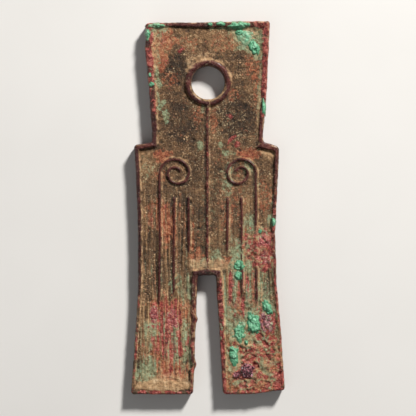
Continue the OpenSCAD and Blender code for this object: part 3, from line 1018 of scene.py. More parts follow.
@dataclass
class Survey:
    """Height and stains of one side at a set of places: its forms, what has worn them and what lies on them.

    The lit side of a form faces the key light and gets soil with painted light; the other side gets painted
    shade. Sizes are millimetres.
    """

    face: CoinFace
    x: Array
    y: Array
    collar_foot_r: float = 3.72
    soil_h: float = 0.06
    furrow_cell: Numbers = (1.3, 26.0)
    furrow_h: float = 0.12
    hair_cell: Numbers = (0.55, 12.0)
    hair_h: float = 0.055
    lump_cell: float = 1.2
    lump_h: float = 0.18
    granule_cell: float = 0.5
    granule_h: float = 0.1
    pit_cell: float = 1.1
    pit_depth: float = 0.14
    hollow_depth: float = 0.18
    knob_cell: float = 0.8
    knob_h: float = 0.26

    def __post_init__(self) -> None:
        """Reads the forms, lays the stains and adds up the height.

        Formula: the highest of rim, lines and collar stands on an uneven field with soil in its corners,
        furrows and corroded lumps; what stands is worn by noise, and the rounded edge is taken off.
        """
        self.plan, self.seed = self.face.plan, self.face.seed
        self._read_forms()
        self.stains = StainMap(*(np.zeros_like(self.x) for _ in Stain))
        if self.face.front:
            for stain, oval in laid_stains():
                self.stains.lay(stain, oval.cover(self.x, self.y, self.ragged))
        else:
            self._cloud_back()
        self._lay_soil()
        self._bare_crests()
        self._stain_rims()
        uneven = 0.03 * self.swell + 0.035 * self.blotch + 0.016 * self.grain
        uneven = uneven + self._furrows() + self._corrosion()
        warp = 0.2 * self.ragged
        knob, _, _ = cells(self.x + warp, self.y + warp, self.knob_cell, self.seed + Draw.KNOB)
        worn = 0.045 * self.blotch + 0.025 * self.grain + self.knob_h * self.red_rims * (0.45 - knob)
        field_h = (uneven + self.soil_h * self.stains.soil) * self.low
        self.height = self.raised + field_h + worn * (1.0 - self.low) - self.drop

    def _read_forms(self) -> None:
        """Works out the forms, the noises that wear and stain them, and what several stains share."""
        face, x, y, seed = self.face, self.x, self.y, self.seed
        self.rim, self.drop, self.share, self.rim_side = face.rim(x, y)
        self.line, self.line_d, line_side, self.stands = face.raised_lines(x, y)
        self.collar, self.radius = face.collar(x, y)
        self.red_rims = face.red_rims(x, y)
        self.grain = fractal(x, y, 0.45, seed + Draw.GRAIN, 2)
        self.blotch = fractal(x, y, 1.5, seed + Draw.BLOTCH, 3)
        self.swell = fractal(x, y, 6.0, seed + Draw.SWELL, 2)
        self.ragged = fractal(x, y, 0.9, seed + Draw.RAGGED, 3)
        self.foot = np.zeros_like(x)
        if face.front:
            areas = (WAIST, CORRODED_LEG, CORRODED_FOOT)
            waist, leg, foot = (area.cover(x, y, self.ragged) for area in areas)
            self.foot = highest(foot, 0.75 * waist, 0.5 * leg)
            self.line = self.line * (1.0 - 0.6 * waist)
        self.raised = highest(self.rim, self.line, self.collar)
        self.low = 1.0 - rise(0.1, 0.3, self.raised)
        self.patchy = np.clip(0.72 + 0.8 * self.blotch, 0.15, 1.0)
        # Share of the lit side of the nearest rim and line, which faces the key light: painted light there,
        # painted shade beyond
        self.rim_lit = rise(-0.25, 0.45, self.rim_side)
        self.line_lit = rise(-0.25, 0.45, line_side)
        self.beside_rim = bell(self.share, 1.08, 0.22)
        # Lower half of the hole's inner bevel, which faces the key light: painted pale and kept bare of dark
        # crest, as painted light
        self.lit_bevel = rise(3.02, 2.84, self.radius) * rise(0.3, -1.2, y - self.plan.hole_y)
        self.soft_feet = highest(HEAD_RIGHT.cover(x, y), face.eaten_side(x, y))

    def _cloud_back(self) -> None:
        """Stains the back with clouds of soft noise."""
        stains, swell, blotch = self.stains, self.swell, self.blotch
        stains.ember = 0.65 * rise(0.0, 0.5, swell + 0.35 * blotch)
        stains.film = 0.6 * rise(0.1, 0.55, 0.35 * blotch - swell)
        stains.red = 0.5 * rise(0.25, 0.6, swell - 0.5 * blotch)
        stains.shade = 1.2 * fractal(self.x, self.y, 7.0, self.seed + Draw.BACK_SHADE, 2)

    def _lay_soil(self) -> None:
        """Lays soil with painted light beside raised forms on their lit side, painted shade on the other."""
        stains = self.stains
        # The collar's halo of soil is wider on its upper side, which faces the key light: partly painted
        # light
        lit_side = rise(-1.5, 2.2, 0.1 * (self.x - self.plan.hole_x) + (self.y - self.plan.hole_y))
        beside_collar = bell(self.radius, self.collar_foot_r - 0.06 * lit_side, 0.26 + 0.1 * lit_side)
        beside_line = bell(self.line_d, 0.37, 0.13) * self.stands
        # Outer edges that face the key light are painted pale: painted light
        lit_outer_edge = rise(0.45, 0.1, self.share) * rise(0.25, -0.45, self.rim_side)
        # Soil on the lit side of rims, lines and collar, at lit outer edges and on the hole's lit bevel:
        # soil and painted light
        soil_and_painted_light = highest(self.beside_rim * self.rim_lit, beside_line * self.line_lit, beside_collar * lit_side)
        soil_and_painted_light = highest(soil_and_painted_light, 0.7 * lit_outer_edge, 0.8 * self.lit_bevel)
        kept = stains.soil * (0.4 + 0.6 * self.low)
        stains.soil = np.clip(highest(kept, 0.9 * self.patchy * soil_and_painted_light), 0.0, 1.0)
        # Painted shade at the foot of rims and lines on the side away from the key light, left out on the
        # head's right and the eaten side
        shaded_rim_foot = self.beside_rim * (1.0 - self.rim_lit) * (1.0 - self.soft_feet)
        stains.shade += 1.1 * highest(shaded_rim_foot, beside_line * (1.0 - self.line_lit))

    def _bare_crests(self) -> None:
        """Bares dark metal on crests of rims, lines and collar, lower on the unlit side as painted shade."""
        bare = np.clip(0.95 + 0.9 * self.blotch - 0.55 * rise(-12.0, -19.0, self.y), 0.2, 1.0)
        # The dark crest reaches lower on the side of rims and lines away from the key light: painted shade
        lit_side = self.rim_lit
        rim = bare * rise(0.35 + 0.2 * lit_side, 0.7 + 0.25 * lit_side, self.rim / self.face.recess)
        lit_side = self.line_lit
        line = rise(0.22 + 0.28 * lit_side, 0.55 + 0.35 * lit_side, self.line / self.face.line_h)
        rubbed = np.clip(0.74 + 0.35 * self.blotch + 0.5 * self.grain, 0.4, 1.0)
        collar = rubbed * rise(0.35, 0.75, self.collar / self.face.recess)
        self.stains.crest = highest(rim, line, collar) * (1.0 - 0.9 * self.lit_bevel)

    def _stain_rims(self) -> None:
        """Stains the rims, the middle line and the feet's edges; paints shade on rims turned from the light.
        """
        x, y, stains = self.x, self.y, self.stains
        on_rim = rise(0.3, 0.7, self.rim / self.face.recess)
        foot_edge = rise(-27.9, -28.4, y - 0.6 * rise(5.0, 12.0, x))
        red = highest(self.red_rims * on_rim, 0.85 * self.patchy * foot_edge)
        if self.face.front:
            ridge = bell(x, self.face.ridge_x, 0.3) * rise(17.0, 15.0, y)
            red = highest(red, 0.42 * ridge * (1.0 + 1.2 * self.blotch))
        stains.red = highest(stains.red * (1.0 - 0.5 * stains.crest), red)
        brown = (1.0 - self.red_rims) * (1.0 - foot_edge)
        # Painted shade on the outer half of brown rims whose outer side faces away from the key light
        shaded_outer_rim = on_rim * self.rim_lit * rise(1.0, 0.5, self.share) * brown
        stains.shade += 0.8 * foot_edge + 1.3 * shaded_outer_rim
        veil = rise(0.1, 0.5, fractal(x, y, 1.2, self.seed + Draw.RIM_FILM, 3))
        veil = veil * rise(-8.0, -13.0, y - 0.9 * np.abs(x))
        beside = self.soft_feet * self.patchy * self.beside_rim
        stains.film = highest(stains.film, 0.6 * on_rim * veil, 0.75 * beside)
        dust = rise(0.1, 0.5, -self.ragged) * rise(-9.0, -14.0, y)
        stains.soil = highest(stains.soil * (1.0 - 0.8 * foot_edge), 0.5 * on_rim * dust)

    def _furrows(self) -> Array:
        """Draws furrows along Y on the panels and legs, with painted shade in them and painted light
        between.

        Formula: a furrow runs where noise that is drawn out along Y passes through 0; hairs are finer ones.

        Returns:
            Height that the furrows add.
        """
        x, y, stains = self.x, self.y, self.stains
        if not self.face.front:
            return np.zeros_like(x)
        panel = highest(LEFT_PANEL.cover(x, y), RIGHT_LEG.cover(x, y), 0.45 * RIGHT_PANEL.cover(x, y))
        panel = panel * (1.0 - 0.8 * self.foot) * (1.0 - 0.6 * rise(-25.8, -27.4, y))
        groove = np.abs(noise(x, y, self.furrow_cell, self.seed + Draw.FURROW))
        furrow = rise(0.0, 0.25, groove) - 0.7
        scratch = np.abs(noise(x, y, self.hair_cell, self.seed + Draw.HAIR))
        hair = rise(0.0, 0.3, scratch) - 0.65
        stains.comb = panel
        # Painted shade in the furrows' bottoms and painted light on the ridges between them
        stains.shade -= panel * (furrow + 0.8 * hair) * self.low
        return panel * (self.furrow_h * furrow + self.hair_h * hair)

    def _corrosion(self) -> Array:
        """Eats pits, and on the corroded metal lumps with pale seams between, granules and red hollows.

        Formula: lumps, granules and pits are cells of three sizes. A lump is highest at its cell's point,
        and a seam runs where two points are about as near. Where film is thick on the foot, lumps and
        granules are bare of red and orange.

        Returns:
            Height that all this adds.
        """
        x, y, stains, foot, blotch = self.x, self.y, self.stains, self.foot, self.blotch
        kinds = ((0.5, self.lump_cell, Draw.LUMP), (0.12, self.granule_cell, Draw.GRANULE))
        (lump, seam, tone), (small, cleft, kind) = (
            cells(x + warp * self.ragged, y + warp * blotch, size, self.seed + draw)
            for warp, size, draw in kinds
        )
        point, _, deep = cells(x, y, self.pit_cell, self.seed + Draw.PIT)
        pits = rise(0.4, 0.1, point) * rise(0.75, 0.95, deep + 0.1 * foot)
        hollow = foot * rise(0.7, 0.8, tone) * rise(0.1, 0.3, seam)
        network = foot * rise(0.32, 0.08, seam) * np.clip(0.65 + 1.4 * blotch, 0.0, 1.0)
        between = foot * rise(0.22, 0.04, cleft) * np.clip(0.6 + 1.2 * blotch, 0.0, 1.0)
        filmed = 0.85 * rise(0.68, 0.9, stains.film) * rise(-13.0, -17.0, y)
        lump_top = foot * rise(0.6, 0.3, lump) * (1.0 - network) * (1.0 - filmed)
        granule = foot * rise(0.5, 0.2, small) * (1.0 - filmed)
        stains.film = highest(stains.film * (1.0 - 0.6 * lump_top), 0.85 * network, 0.8 * between)
        stains.soil = highest(stains.soil * (1.0 - 0.5 * lump_top), 0.35 * network)
        orange_tops = 0.9 * lump_top * rise(0.2, 0.4, tone)
        stains.ember = highest(stains.ember, orange_tops, 0.7 * granule * rise(0.6, 0.45, kind))
        red_tops = 0.7 * lump_top * rise(0.6, 0.3, tone)
        red_grains = 0.75 * granule * rise(0.55, 0.7, kind)
        kept = stains.red * (1.0 - foot * filmed) * (1.0 - 0.7 * network)
        stains.red = highest(kept, red_tops, red_grains, 0.7 * hollow)
        stains.shade += 0.6 * hollow + 0.6 * pits
        lumps = 0.1 * blotch + self.lump_h * (0.5 - lump) + self.granule_h * (0.4 - small)
        return foot * lumps + 0.03 * network - self.pit_depth * pits * self.low - self.hollow_depth * hollow


@dataclass(frozen=True)
class Wall:
    """One of the coin's two walls: its rows of points, and how strong some stains are on it."""

    rows: int
    crest: float
    soil: float
    red: float
    hole: bool


OUTER_WALL = Wall(5, 0.8, 0.45, 0.7, hole=False)
HOLE_WALL = Wall(9, 0.55, 0.9, 0.2, hole=True)


@dataclass
class Casting:
    """The bronze coin as one closed mesh: face, back, outer wall and the wall of the hole."""

    node: str = "bronze_casting"
    slot: str = "bronze"
    thickness: float = 2.4
    recess: float = 0.45
    throat_r: float = 2.56
    parting_bulge: float = 0.05
    wall_waver: float = 0.02
    outer_fall: float = 2.2
    waver_seed: int = 151
    stain_seed: int = 161
    plan: CoinPlan = field(default_factory=CoinPlan)

    def __post_init__(self) -> None:
        """Makes both sides on the plan."""
        self.face = CoinFace(self.plan, front=True, recess=self.recess)
        self.back = CoinFace(self.plan, front=False, recess=self.recess)
        self.face_z = self.thickness - self.recess

    def ground(self, x: Array, y: Array) -> Array:
        """Level of the face at places on it, in millimetres; past the outline it falls away steeply.

        Args:
            x, y: the places.

        Returns:
            Z of the surface.
        """
        height = Survey(self.face, x, y).height
        outside, _, _ = to_path(x, y, self.plan.edge_path)
        outside = np.where(inside(x, y, self.plan.edge_path), 0.0, outside)
        return self.face_z + height - self.outer_fall * outside

    def _wall(self, wall: Wall, loop: Array, front_z: Array, back_z: Array) -> tuple[Array, StainMap]:
        """Points and stains of the rows of one wall.

        Formula: a row's level lies between the two edges. It stands out along the loop's normal by a parting
        bulge at half height, or in the hole it closes to the throat, and soft noise moves it.

        Args:
            wall: which wall.
            loop: points of the front loop, against the clock.
            front_z, back_z: levels of the two edges at each.

        Returns:
            Places, one row each, and the stains.
        """
        x, y = self.plan.x[loop], self.plan.y[loop]
        share = (np.arange(1, wall.rows + 1) / (wall.rows + 1))[:, None]
        tangent_x, tangent_y = np.roll(x, -1) - np.roll(x, 1), np.roll(y, -1) - np.roll(y, 1)
        length = np.maximum(np.hypot(tangent_x, tangent_y), 1e-9)
        normal_x, normal_y = tangent_y / length, -tangent_x / length
        around, level = np.broadcast_arrays(np.cumsum(length) / 2.0, share)
        out = self.parting_bulge * bell(share, 0.5, 0.22)
        if wall.hole:
            out = (self.throat_r - self.plan.mouth_r) * (1.0 - (2.0 * share - 1.0) ** 4)
        out = out + self.wall_waver * noise(around, 9.0 * level, (0.8, 3.0), self.waver_seed)
        z = front_z * (1.0 - share) + back_z * share
        points = np.stack([x + normal_x * out, y + normal_y * out, z], axis=2)
        blotch = fractal(around, 6.0 * level, 1.6, self.stain_seed)
        stains = StainMap(
            crest=np.full_like(blotch, wall.crest),
            soil=wall.soil * rise(0.1, 0.6, -blotch),
            ember=0.6 * rise(0.2, 0.6, blotch),
            film=0.8 * rise(0.3, 0.7, np.roll(blotch, 97, axis=1)),
            red=wall.red * rise(0.0, 0.5, np.roll(blotch, 41, axis=1)),
            shade=np.zeros_like(blotch),
            comb=np.zeros_like(blotch),
        )
        return points.reshape(-1, 3), stains

    def build(self) -> Piece:
        """Builds the coin.

        The face uses the whole net and the back every second line of it, so each wall ends in a strip of
        triangles.

        Returns:
            The piece.
        """
        plan = self.plan
        count = plan.x.size
        face, back = (Survey(side, plan.x, plan.y) for side in (self.face, self.back))
        face_z = self.face_z + face.height
        back_z = np.maximum(self.recess - back.height, 0.0)
        points = [np.stack([plan.x, plan.y, z], axis=1) for z in (face_z, back_z)]
        stains = [face.stains, back.stains]
        faces = plan.sheet(1) + [block[:, ::-1] + count for block in plan.sheet(2)]
        first_id = 2 * count
        for wall, loop in ((OUTER_WALL, plan.outline), (HOLE_WALL, plan.rings[-1])):
            places, wall_stains = self._wall(wall, loop, face_z[loop], back_z[loop])
            faces += wall_faces(loop, loop[::2] + count, first_id, wall)
            first_id += len(places)
            points.append(places)
            stains.append(wall_stains)
        marks = {stain.value: np.concatenate([part.of(stain) for part in stains]) for stain in Stain}
        return make_mesh("coin_casting", np.concatenate(points), faces, marks)

    def dress(self, piece: Piece) -> None:
        """Gives the coin its patina and hides the CAD part it stands for."""
        settle(piece, PATINA.material(), self.node)


# Crusts


class Habit(Enum):
    """How a crust has grown."""

    GRAPE = "malachite"
    SCALE = "cuprite"


@dataclass(frozen=True)
class Spot:
    """One patch of a crust: middle, half sizes, turn and height, in millimetres and degrees, and its tint.

    The tint is the share of the mineral's second colour: pale for malachite, purple for cuprite.
    """

    x: float
    y: float
    half_x: float
    half_y: float
    turn: float = 0.0
    rise: float = 0.42
    tint: float = 0.0


@dataclass
class Crust:
    """A mineral crust that lies on the coin's face: patches of one habit that stand for one node."""

    node: str
    habit: Habit
    spots: tuple[Spot, ...]
    seed: int
    rings: int = 22
    spokes: int = 96
    root_depth: float = 0.15
    cut: float = 0.4
    gaps: float = 0.2
    wide_gaps: float = 1.95
    edge_wave: float = 0.26
    fold_step: float = 0.6
    grape_cell: float = 1.1
    scale_cell: float = 0.9

    def _patch(self, coin: Casting, spot: Spot, seed: int) -> tuple[Array, Array, list[Array]]:
        """Closed patch that is draped over the face.

        Formula: rings from the middle to a wavy oval. The upper sheet lies over the ground by the spot's
        rise times a share: a dome 1 - t^3 with the habit's lumps, less a ragged cut towards the edge and
        gaps where noise is high. The lower sheet runs under the ground and meets the upper one at the last
        ring.

        Args:
            coin: what the crust lies on.
            spot: place and sizes of the patch.
            seed: random field.

        Returns:
            Points, their share of height, and blocks of faces.
        """
        t = np.linspace(0.0, 1.0, self.rings + 1)[1:, None]
        angle = np.linspace(0.0, 2.0 * np.pi, self.spokes, endpoint=False)[None, :]
        wave = fractal(1.6 * np.cos(angle) + seed, 1.6 * np.sin(angle), 1.0, seed, 2)
        wavy = 1.0 + self.edge_wave * wave
        turn = np.radians(spot.turn)
        off_x, off_y = spot.half_x * wavy * t * np.cos(angle), spot.half_y * wavy * t * np.sin(angle)
        x = np.concatenate([[spot.x], (spot.x + off_x * np.cos(turn) - off_y * np.sin(turn)).ravel()])
        y = np.concatenate([[spot.y], (spot.y + off_x * np.sin(turn) + off_y * np.cos(turn)).ravel()])
        reach = np.concatenate([[0.0], (t + 0.0 * angle).ravel()])
        ragged = fractal(x, y, 0.8, seed + 5, 2)
        dome = 1.0 - reach**3
        inward = reach * min(spot.half_x, spot.half_y)
        share = dome * self._lumps(x, y, inward, seed) - self.cut * (1.0 - dome) * (1.0 + 1.6 * ragged)
        grape = self.habit is Habit.GRAPE
        torn = fractal(x, y, 0.7 if grape else 0.95, seed + 7, 2)
        share = share - self.gaps * (1.0 if grape else self.wide_gaps) * rise(-0.05, 0.4, torn)
        ground = coin.ground(x, y)
        top = ground + spot.rise * share - 0.04 * reach**4
        under = np.minimum(ground, top) - self.root_depth
        under = np.where(reach >= 1.0, top, under)
        points = np.concatenate([np.stack([x, y, top], 1), np.stack([x, y, under], 1)])
        return points, np.concatenate([share, 0.0 * share]), self._caps(x.size)

    def _lumps(self, x: Array, y: Array, inward: Array, seed: int) -> Array:
        """Share of full height from the crust's habit at each point.

        Formula: grapes are half spheres with folds that run around the patch, one for every fold_step of the
        distance from its middle; scales are lumps of random height, parted by gaps.

        Args:
            x, y: the points.
            inward: distance from the patch's middle, counted along its shorter half size.
            seed: random field.

        Returns:
            Numbers from about 0 to 1.
        """
        if self.habit is Habit.GRAPE:
            first, _, tone = cells(x, y, self.grape_cell, seed)
            ball = np.sqrt(np.clip(1.0 - (first / 1.05) ** 2, 0.0, 1.0))
            turns = inward / self.fold_step + 0.9 * fractal(x, y, 1.3, seed + 9, 2)
            fold = 0.5 + 0.5 * np.cos(2.0 * np.pi * turns)
            return 0.28 + (0.2 + 0.2 * tone) * ball + 0.2 * fold + 0.07 * fractal(x, y, 0.4, seed + 3, 2)
        warp = 0.25 * fractal(x, y, 0.6, seed + 5, 2)
        first, gap, tone = cells(x + warp, y, self.scale_cell, seed)
        ball = np.sqrt(np.clip(1.0 - (first / 1.1) ** 2, 0.0, 1.0))
        crumbs = fractal(x, y, 0.4, seed + 3, 2)
        return 0.2 + rise(0.0, 0.25, gap) * (0.1 + 0.5 * tone) * ball + 0.2 * crumbs

    def _caps(self, count: int) -> list[Array]:
        """Faces of one closed patch.

        Args:
            count: how many points each of its two sheets has.

        Returns:
            Blocks of faces.
        """
        ring = 1 + np.arange(self.rings * self.spokes).reshape(self.rings, self.spokes)
        ahead = np.roll(ring, -1, axis=1)
        quads = np.stack([ring[:-1], ring[1:], ahead[1:], ahead[:-1]], axis=2).reshape(-1, 4)
        fan = np.stack([np.zeros_like(ring[0]), ring[0], ahead[0]], axis=1)
        under_ring, under_ahead = ring + count, ahead + count
        under_ring[-1], under_ahead[-1] = ring[-1], ahead[-1]
        under = np.stack([under_ring[:-1], under_ahead[:-1], under_ahead[1:], under_ring[1:]], axis=2)
        under_fan = np.stack([np.full_like(ring[0], count), under_ahead[0], under_ring[0]], axis=1)
        return [quads, under.reshape(-1, 4), fan, under_fan]

    def build(self, coin: Casting) -> Piece:
        """Builds the crust on the coin.

        Args:
            coin: what the crust lies on.

        Returns:
            The piece.
        """
        points, shares, tints, faces, first = [], [], [], [], 0
        for index, spot in enumerate(self.spots):
            patch, share, caps = self._patch(coin, spot, self.seed + 37 * index)
            points.append(patch)
            shares.append(share)
            tints.append(np.full_like(share, spot.tint))
            faces += [cap + first for cap in caps]
            first += len(patch)
        marks = {"crown": np.concatenate(shares), "tint": np.concatenate(tints)}
        return make_mesh(f"{self.node}_crust", np.concatenate(points), faces, marks)

    def dress(self, piece: Piece) -> None:
        """Gives the crust its mineral finish and hides the CAD part it stands for."""
        finish = MALACHITE if self.habit is Habit.GRAPE else CUPRITE
        settle(piece, finish.material(), self.node)


# Corners of a cube's six sides; a corner's number counts 1 for +X, 2 for +Y and 4 for +Z
CUBE_SIDES = ((0, 2, 3, 1), (4, 5, 7, 6), (0, 1, 5, 4), (2, 6, 7, 3), (0, 4, 6, 2), (1, 3, 7, 5))


@dataclass(frozen=True)
class Cluster:
    """One cluster of crystals: its middle, its reach, how many, and the largest crystal, in millimetres."""

    x: float
    y: float
    reach: float
    count: int
    largest: float


@dataclass
class Druse:
    """Dark crystals on the right foot: small cubes that stand at all angles, sunk in the corroded metal."""

    node: str = "cuprite_foot_crystals"
    slot: str = "cuprite"
    clusters: tuple[Cluster, ...] = (
        Cluster(6.15, -25.1, 1.05, 70, 0.62),
        Cluster(4.55, -25.8, 0.55, 26, 0.46),
    )
    seed: int = 907
    lift: float = 0.4

    def _cubes(self, coin: Casting, cluster: Cluster, seed: int) -> Array:
        """Corners of a cluster's cubes.

        Formula: a cube's corners v are -1 or 1 on each axis, times half its edge, and turned by a random
        quaternion w, a: v + 2 (w a x v + a x (a x v)). The cubes' middles fill a disc, a little over the
        ground, and the cubes are smaller towards its edge.

        Args:
            coin: what the crystals stand on.
            cluster: place and sizes.
            seed: random field.

        Returns:
            Corners, eight rows to a cube.
        """
        random = np.random.default_rng(seed)
        radius = np.sqrt(random.random(cluster.count))
        angle = 2.0 * np.pi * random.random(cluster.count)
        x = cluster.x + cluster.reach * radius * np.cos(angle)
        y = cluster.y + cluster.reach * radius * np.sin(angle)
        half = cluster.largest * (0.28 + 0.22 * random.random(cluster.count)) * (1.0 - 0.45 * radius)
        z = coin.ground(x, y) + self.lift * half
        turn = random.normal(size=(cluster.count, 1, 4))
        turn = turn / np.linalg.norm(turn, axis=2, keepdims=True)
        w, axis = turn[..., :1], turn[..., 1:]
        sign = np.array([[a, b, c] for c in (-1, 1) for b in (-1, 1) for a in (-1, 1)], float)
        swung = np.cross(axis, sign)
        corners = (sign + 2.0 * (w * swung + np.cross(axis, swung))) * half[:, None, None]
        return (corners + np.stack([x, y, z], 1)[:, None, :]).reshape(-1, 3)

    def build(self, coin: Casting) -> Piece:
        """Builds the crystals on the coin.

        Args:
            coin: what the crystals stand on.

        Returns:
            The piece.
        """
        points = np.concatenate([self._cubes(coin, c, self.seed + n) for n, c in enumerate(self.clusters)])
        faces = (8 * np.arange(len(points) // 8)[:, None, None] + np.array(CUBE_SIDES)).reshape(-1, 4)
        return make_mesh("foot_crystals", points, [faces], {"crown": np.zeros(len(points))}, smooth=False)

    def dress(self, piece: Piece) -> None:
        """Gives the crystals their dark gloss and hides the CAD part they stand for."""
        settle(piece, CRYSTAL.material(), self.node)


def settle(piece: Piece, material: Material, node: str) -> None:
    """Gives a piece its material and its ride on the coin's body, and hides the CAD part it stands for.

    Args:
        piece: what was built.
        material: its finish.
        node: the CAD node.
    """
    piece.data.materials.append(material)
    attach(piece, ROOT_BODY)
    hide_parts(node)


# Finishes


def srgb(red: int, green: int, blue: int) -> Colour:
    """Linear colour of a colour as a screen shows it.

    Args:
        red, green, blue: numbers from 0 to 255.

    Returns:
        The colour, opaque.
    """
    shares = np.array([red, green, blue]) / 255.0
    linear = np.where(shares <= 0.04045, shares / 12.92, ((shares + 0.055) / 1.055) ** 2.4)
    return (float(linear[0]), float(linear[1]), float(linear[2]), 1.0)


def joined(operation: str, reflected: bool = False) -> Callable:
    """Operator of a socket: a method that adds one Math node.

    Args:
        operation: what the node does.
        reflected: whether the socket is the second operand.

    Returns:
        The method.
    """

    def method(sock: "Sock", other: "Operand") -> "Sock":
        """Adds the node and hands back its output."""
        first, second = (other, sock) if reflected else (sock, other)
        return sock.tree.add("ShaderNodeMath", {"operation": operation}, {0: first, 1: second})

    return method


class Sock:
    """An output socket of a shader tree; arithmetic on it adds Math nodes."""

    def __init__(self, tree: "ShaderTree", socket: bpy.types.NodeSocket) -> None:
        """Keeps the socket and the tree that it belongs to."""
        self.tree = tree
        self.socket = socket

    __add__, __radd__ = joined("ADD"), joined("ADD", True)
    __sub__, __rsub__ = joined("SUBTRACT"), joined("SUBTRACT", True)
    __mul__, __rmul__ = joined("MULTIPLY"), joined("MULTIPLY", True)


Operand = Union[Sock, float, tuple]


class ShaderTree:
    """A new material's node tree with one Principled shader, built from expressions."""

    def __init__(self, name: str) -> None:
        """Makes the material and its two fixed nodes.

        Args:
            name: name of the material.
        """
        self.material = bpy.data.materials.new(name)
        self.material.use_nodes = True
        self.nodes = self.material.node_tree.nodes
        self.nodes.clear()
        self.shader = self.nodes.new("ShaderNodeBsdfPrincipled")
        output = self.nodes.new("ShaderNodeOutputMaterial")
        self.material.node_tree.links.new(self.shader.outputs[0], output.inputs["Surface"])

    def add(self, kind: str, settings: dict, sockets: dict, output: Union[str, int] = 0) -> Sock:
        """Adds one node.

        Args:
            kind: Blender's name of the node's type.
            settings: properties to set before its sockets.
            sockets: values or links of its inputs, by name or number.
            output: which output to hand back.

        Returns:
            That output.
        """
        node = self.nodes.new(kind)
        for name, value in settings.items():
            if name == "stops":
                self._set_stops(node.color_ramp.elements, value)
            else:
                setattr(node, name, value)
        for key, value in sockets.items():
            self.plug(node.inputs[key], value)
        return Sock(self, node.outputs[output])

    def _set_stops(self, elements: bpy.types.ColorRampElements, stops: tuple) -> None:
        """Gives a colour ramp its stops.

        Args:
            elements: the ramp's own.
            stops: pairs of a place from 0 to 1 and a colour.
        """
        while len(elements) < len(stops):
            elements.new(1.0)
        for element, (place, colour) in zip(elements, stops):
            element.position = place
            element.color = colour

    def plug(self, target: bpy.types.NodeSocket, value: Operand) -> None:
        """Links a socket, or sets its value.

        Args:
            target: the socket.
            value: an output or a number.
        """
        if isinstance(value, Sock):
            self.material.node_tree.links.new(value.socket, target)
        else:
            target.default_value = value

    def mark(self, name: str) -> Sock:
        """Number of the points that the mesh carries under that name."""
        return self.add("ShaderNodeAttribute", {"attribute_name": name}, {}, "Fac")

    def place(self, stretch: Numbers = (1.0, 1.0, 1.0)) -> Sock:
        """Object coordinates in millimetres.

        Args:
            stretch: what each is multiplied by.

        Returns:
            The coordinates.
        """
        raw = self.add("ShaderNodeTexCoord", {}, {}, "Object")
        scale = tuple(share / MM for share in stretch)
        return self.add("ShaderNodeVectorMath", {"operation": "MULTIPLY"}, {0: raw, 1: scale})

    def grain(
        self,
        place: Sock,
        size: float,
        seed: float,
        detail: float = 3.0,
        rough: float = 0.55,
        warp: float = 0.0,
    ) -> Sock:
        """Noise whose grains are about size millimetres across, spread out to fill 0 to 1.

        Args:
            place: coordinates in millimetres.
            size: width of a grain.
            seed: random field.
            detail: how many finer noises are added.
            rough: how strong each finer noise is beside the one before.
            warp: how far the grains are twisted.

        Returns:
            The spread noise.
        """
        sockets = {"Vector": place, "W": seed, "Scale": 1.0 / size, "Detail": detail}
        sockets |= {"Roughness": rough, "Distortion": warp}
        raw = self.add("ShaderNodeTexNoise", {"noise_dimensions": "4D"}, sockets, "Fac")
        return self.add("ShaderNodeMapRange", {}, {"Value": raw, "From Min": 0.3, "From Max": 0.7})

    def ramp(self, value: Sock, low: float, high: float) -> Sock:
        """Smooth rise from 0 at low to 1 at high."""
        sockets = {"Value": value, "From Min": low, "From Max": high}
        return self.add("ShaderNodeMapRange", {"interpolation_type": "SMOOTHSTEP"}, sockets)

    def scatter(self, cover: Operand, grain: Sock, soft: float = 0.16) -> Sock:
        """Specks that take up the share cover of the surface, with edges of the given softness."""
        return self.ramp(grain + cover, 1.0 - soft, 1.0 + soft)

    def dots(self, place: Sock, cell: float, most: float) -> Sock:
        """Round specks of random size in half of the cells.

        Args:
            place: coordinates in millimetres.
            cell: width of a cell.
            most: greatest size, as a share of the cell.

        Returns:
            1 on a speck and 0 beside it.
        """
        settings = {"feature": "F1"}
        sockets = {"Vector": place, "Scale": 1.0 / cell}
        far = self.add("ShaderNodeTexVoronoi", settings, sockets, "Distance")
        tint = self.add("ShaderNodeTexVoronoi", settings, sockets, "Color")
        chance = self.add("ShaderNodeSeparateColor", {}, {"Color": tint}, "Red")
        return self.ramp(most * self.ramp(chance, 0.6, 1.1) - far, 0.0, 0.1)

    def palette(self, value: Sock, *colours: Colour) -> Sock:
        """Colour of a value from 0 to 1 along evenly spaced colours."""
        stops = tuple((index / (len(colours) - 1), colour) for index, colour in enumerate(colours))
        return self.add("ShaderNodeValToRGB", {"stops": stops}, {0: value})

    def blend(self, share: Operand, first: Operand, second: Operand) -> Sock:
        """Colour between two, by a share."""
        return self.add("ShaderNodeMix", {"data_type": "RGBA"}, {0: share, 6: first, 7: second}, 2)

    def bump(self, height: Sock, depth: float) -> Sock:
        """Normal of a surface that the height moves by up to depth millimetres."""
        sockets = {"Height": height, "Distance": depth * MM, "Strength": 1.0}
        return self.add("ShaderNodeBump", {}, sockets, "Normal")

    def finish(self, **sockets: Operand) -> Material:
        """Plugs the shader's own sockets.

        Args:
            sockets: values or links, by names that have _ for a space.

        Returns:
            The material.
        """
        for name, value in sockets.items():
            self.plug(self.shader.inputs[name.replace("_", " ")], value)
        return self.material


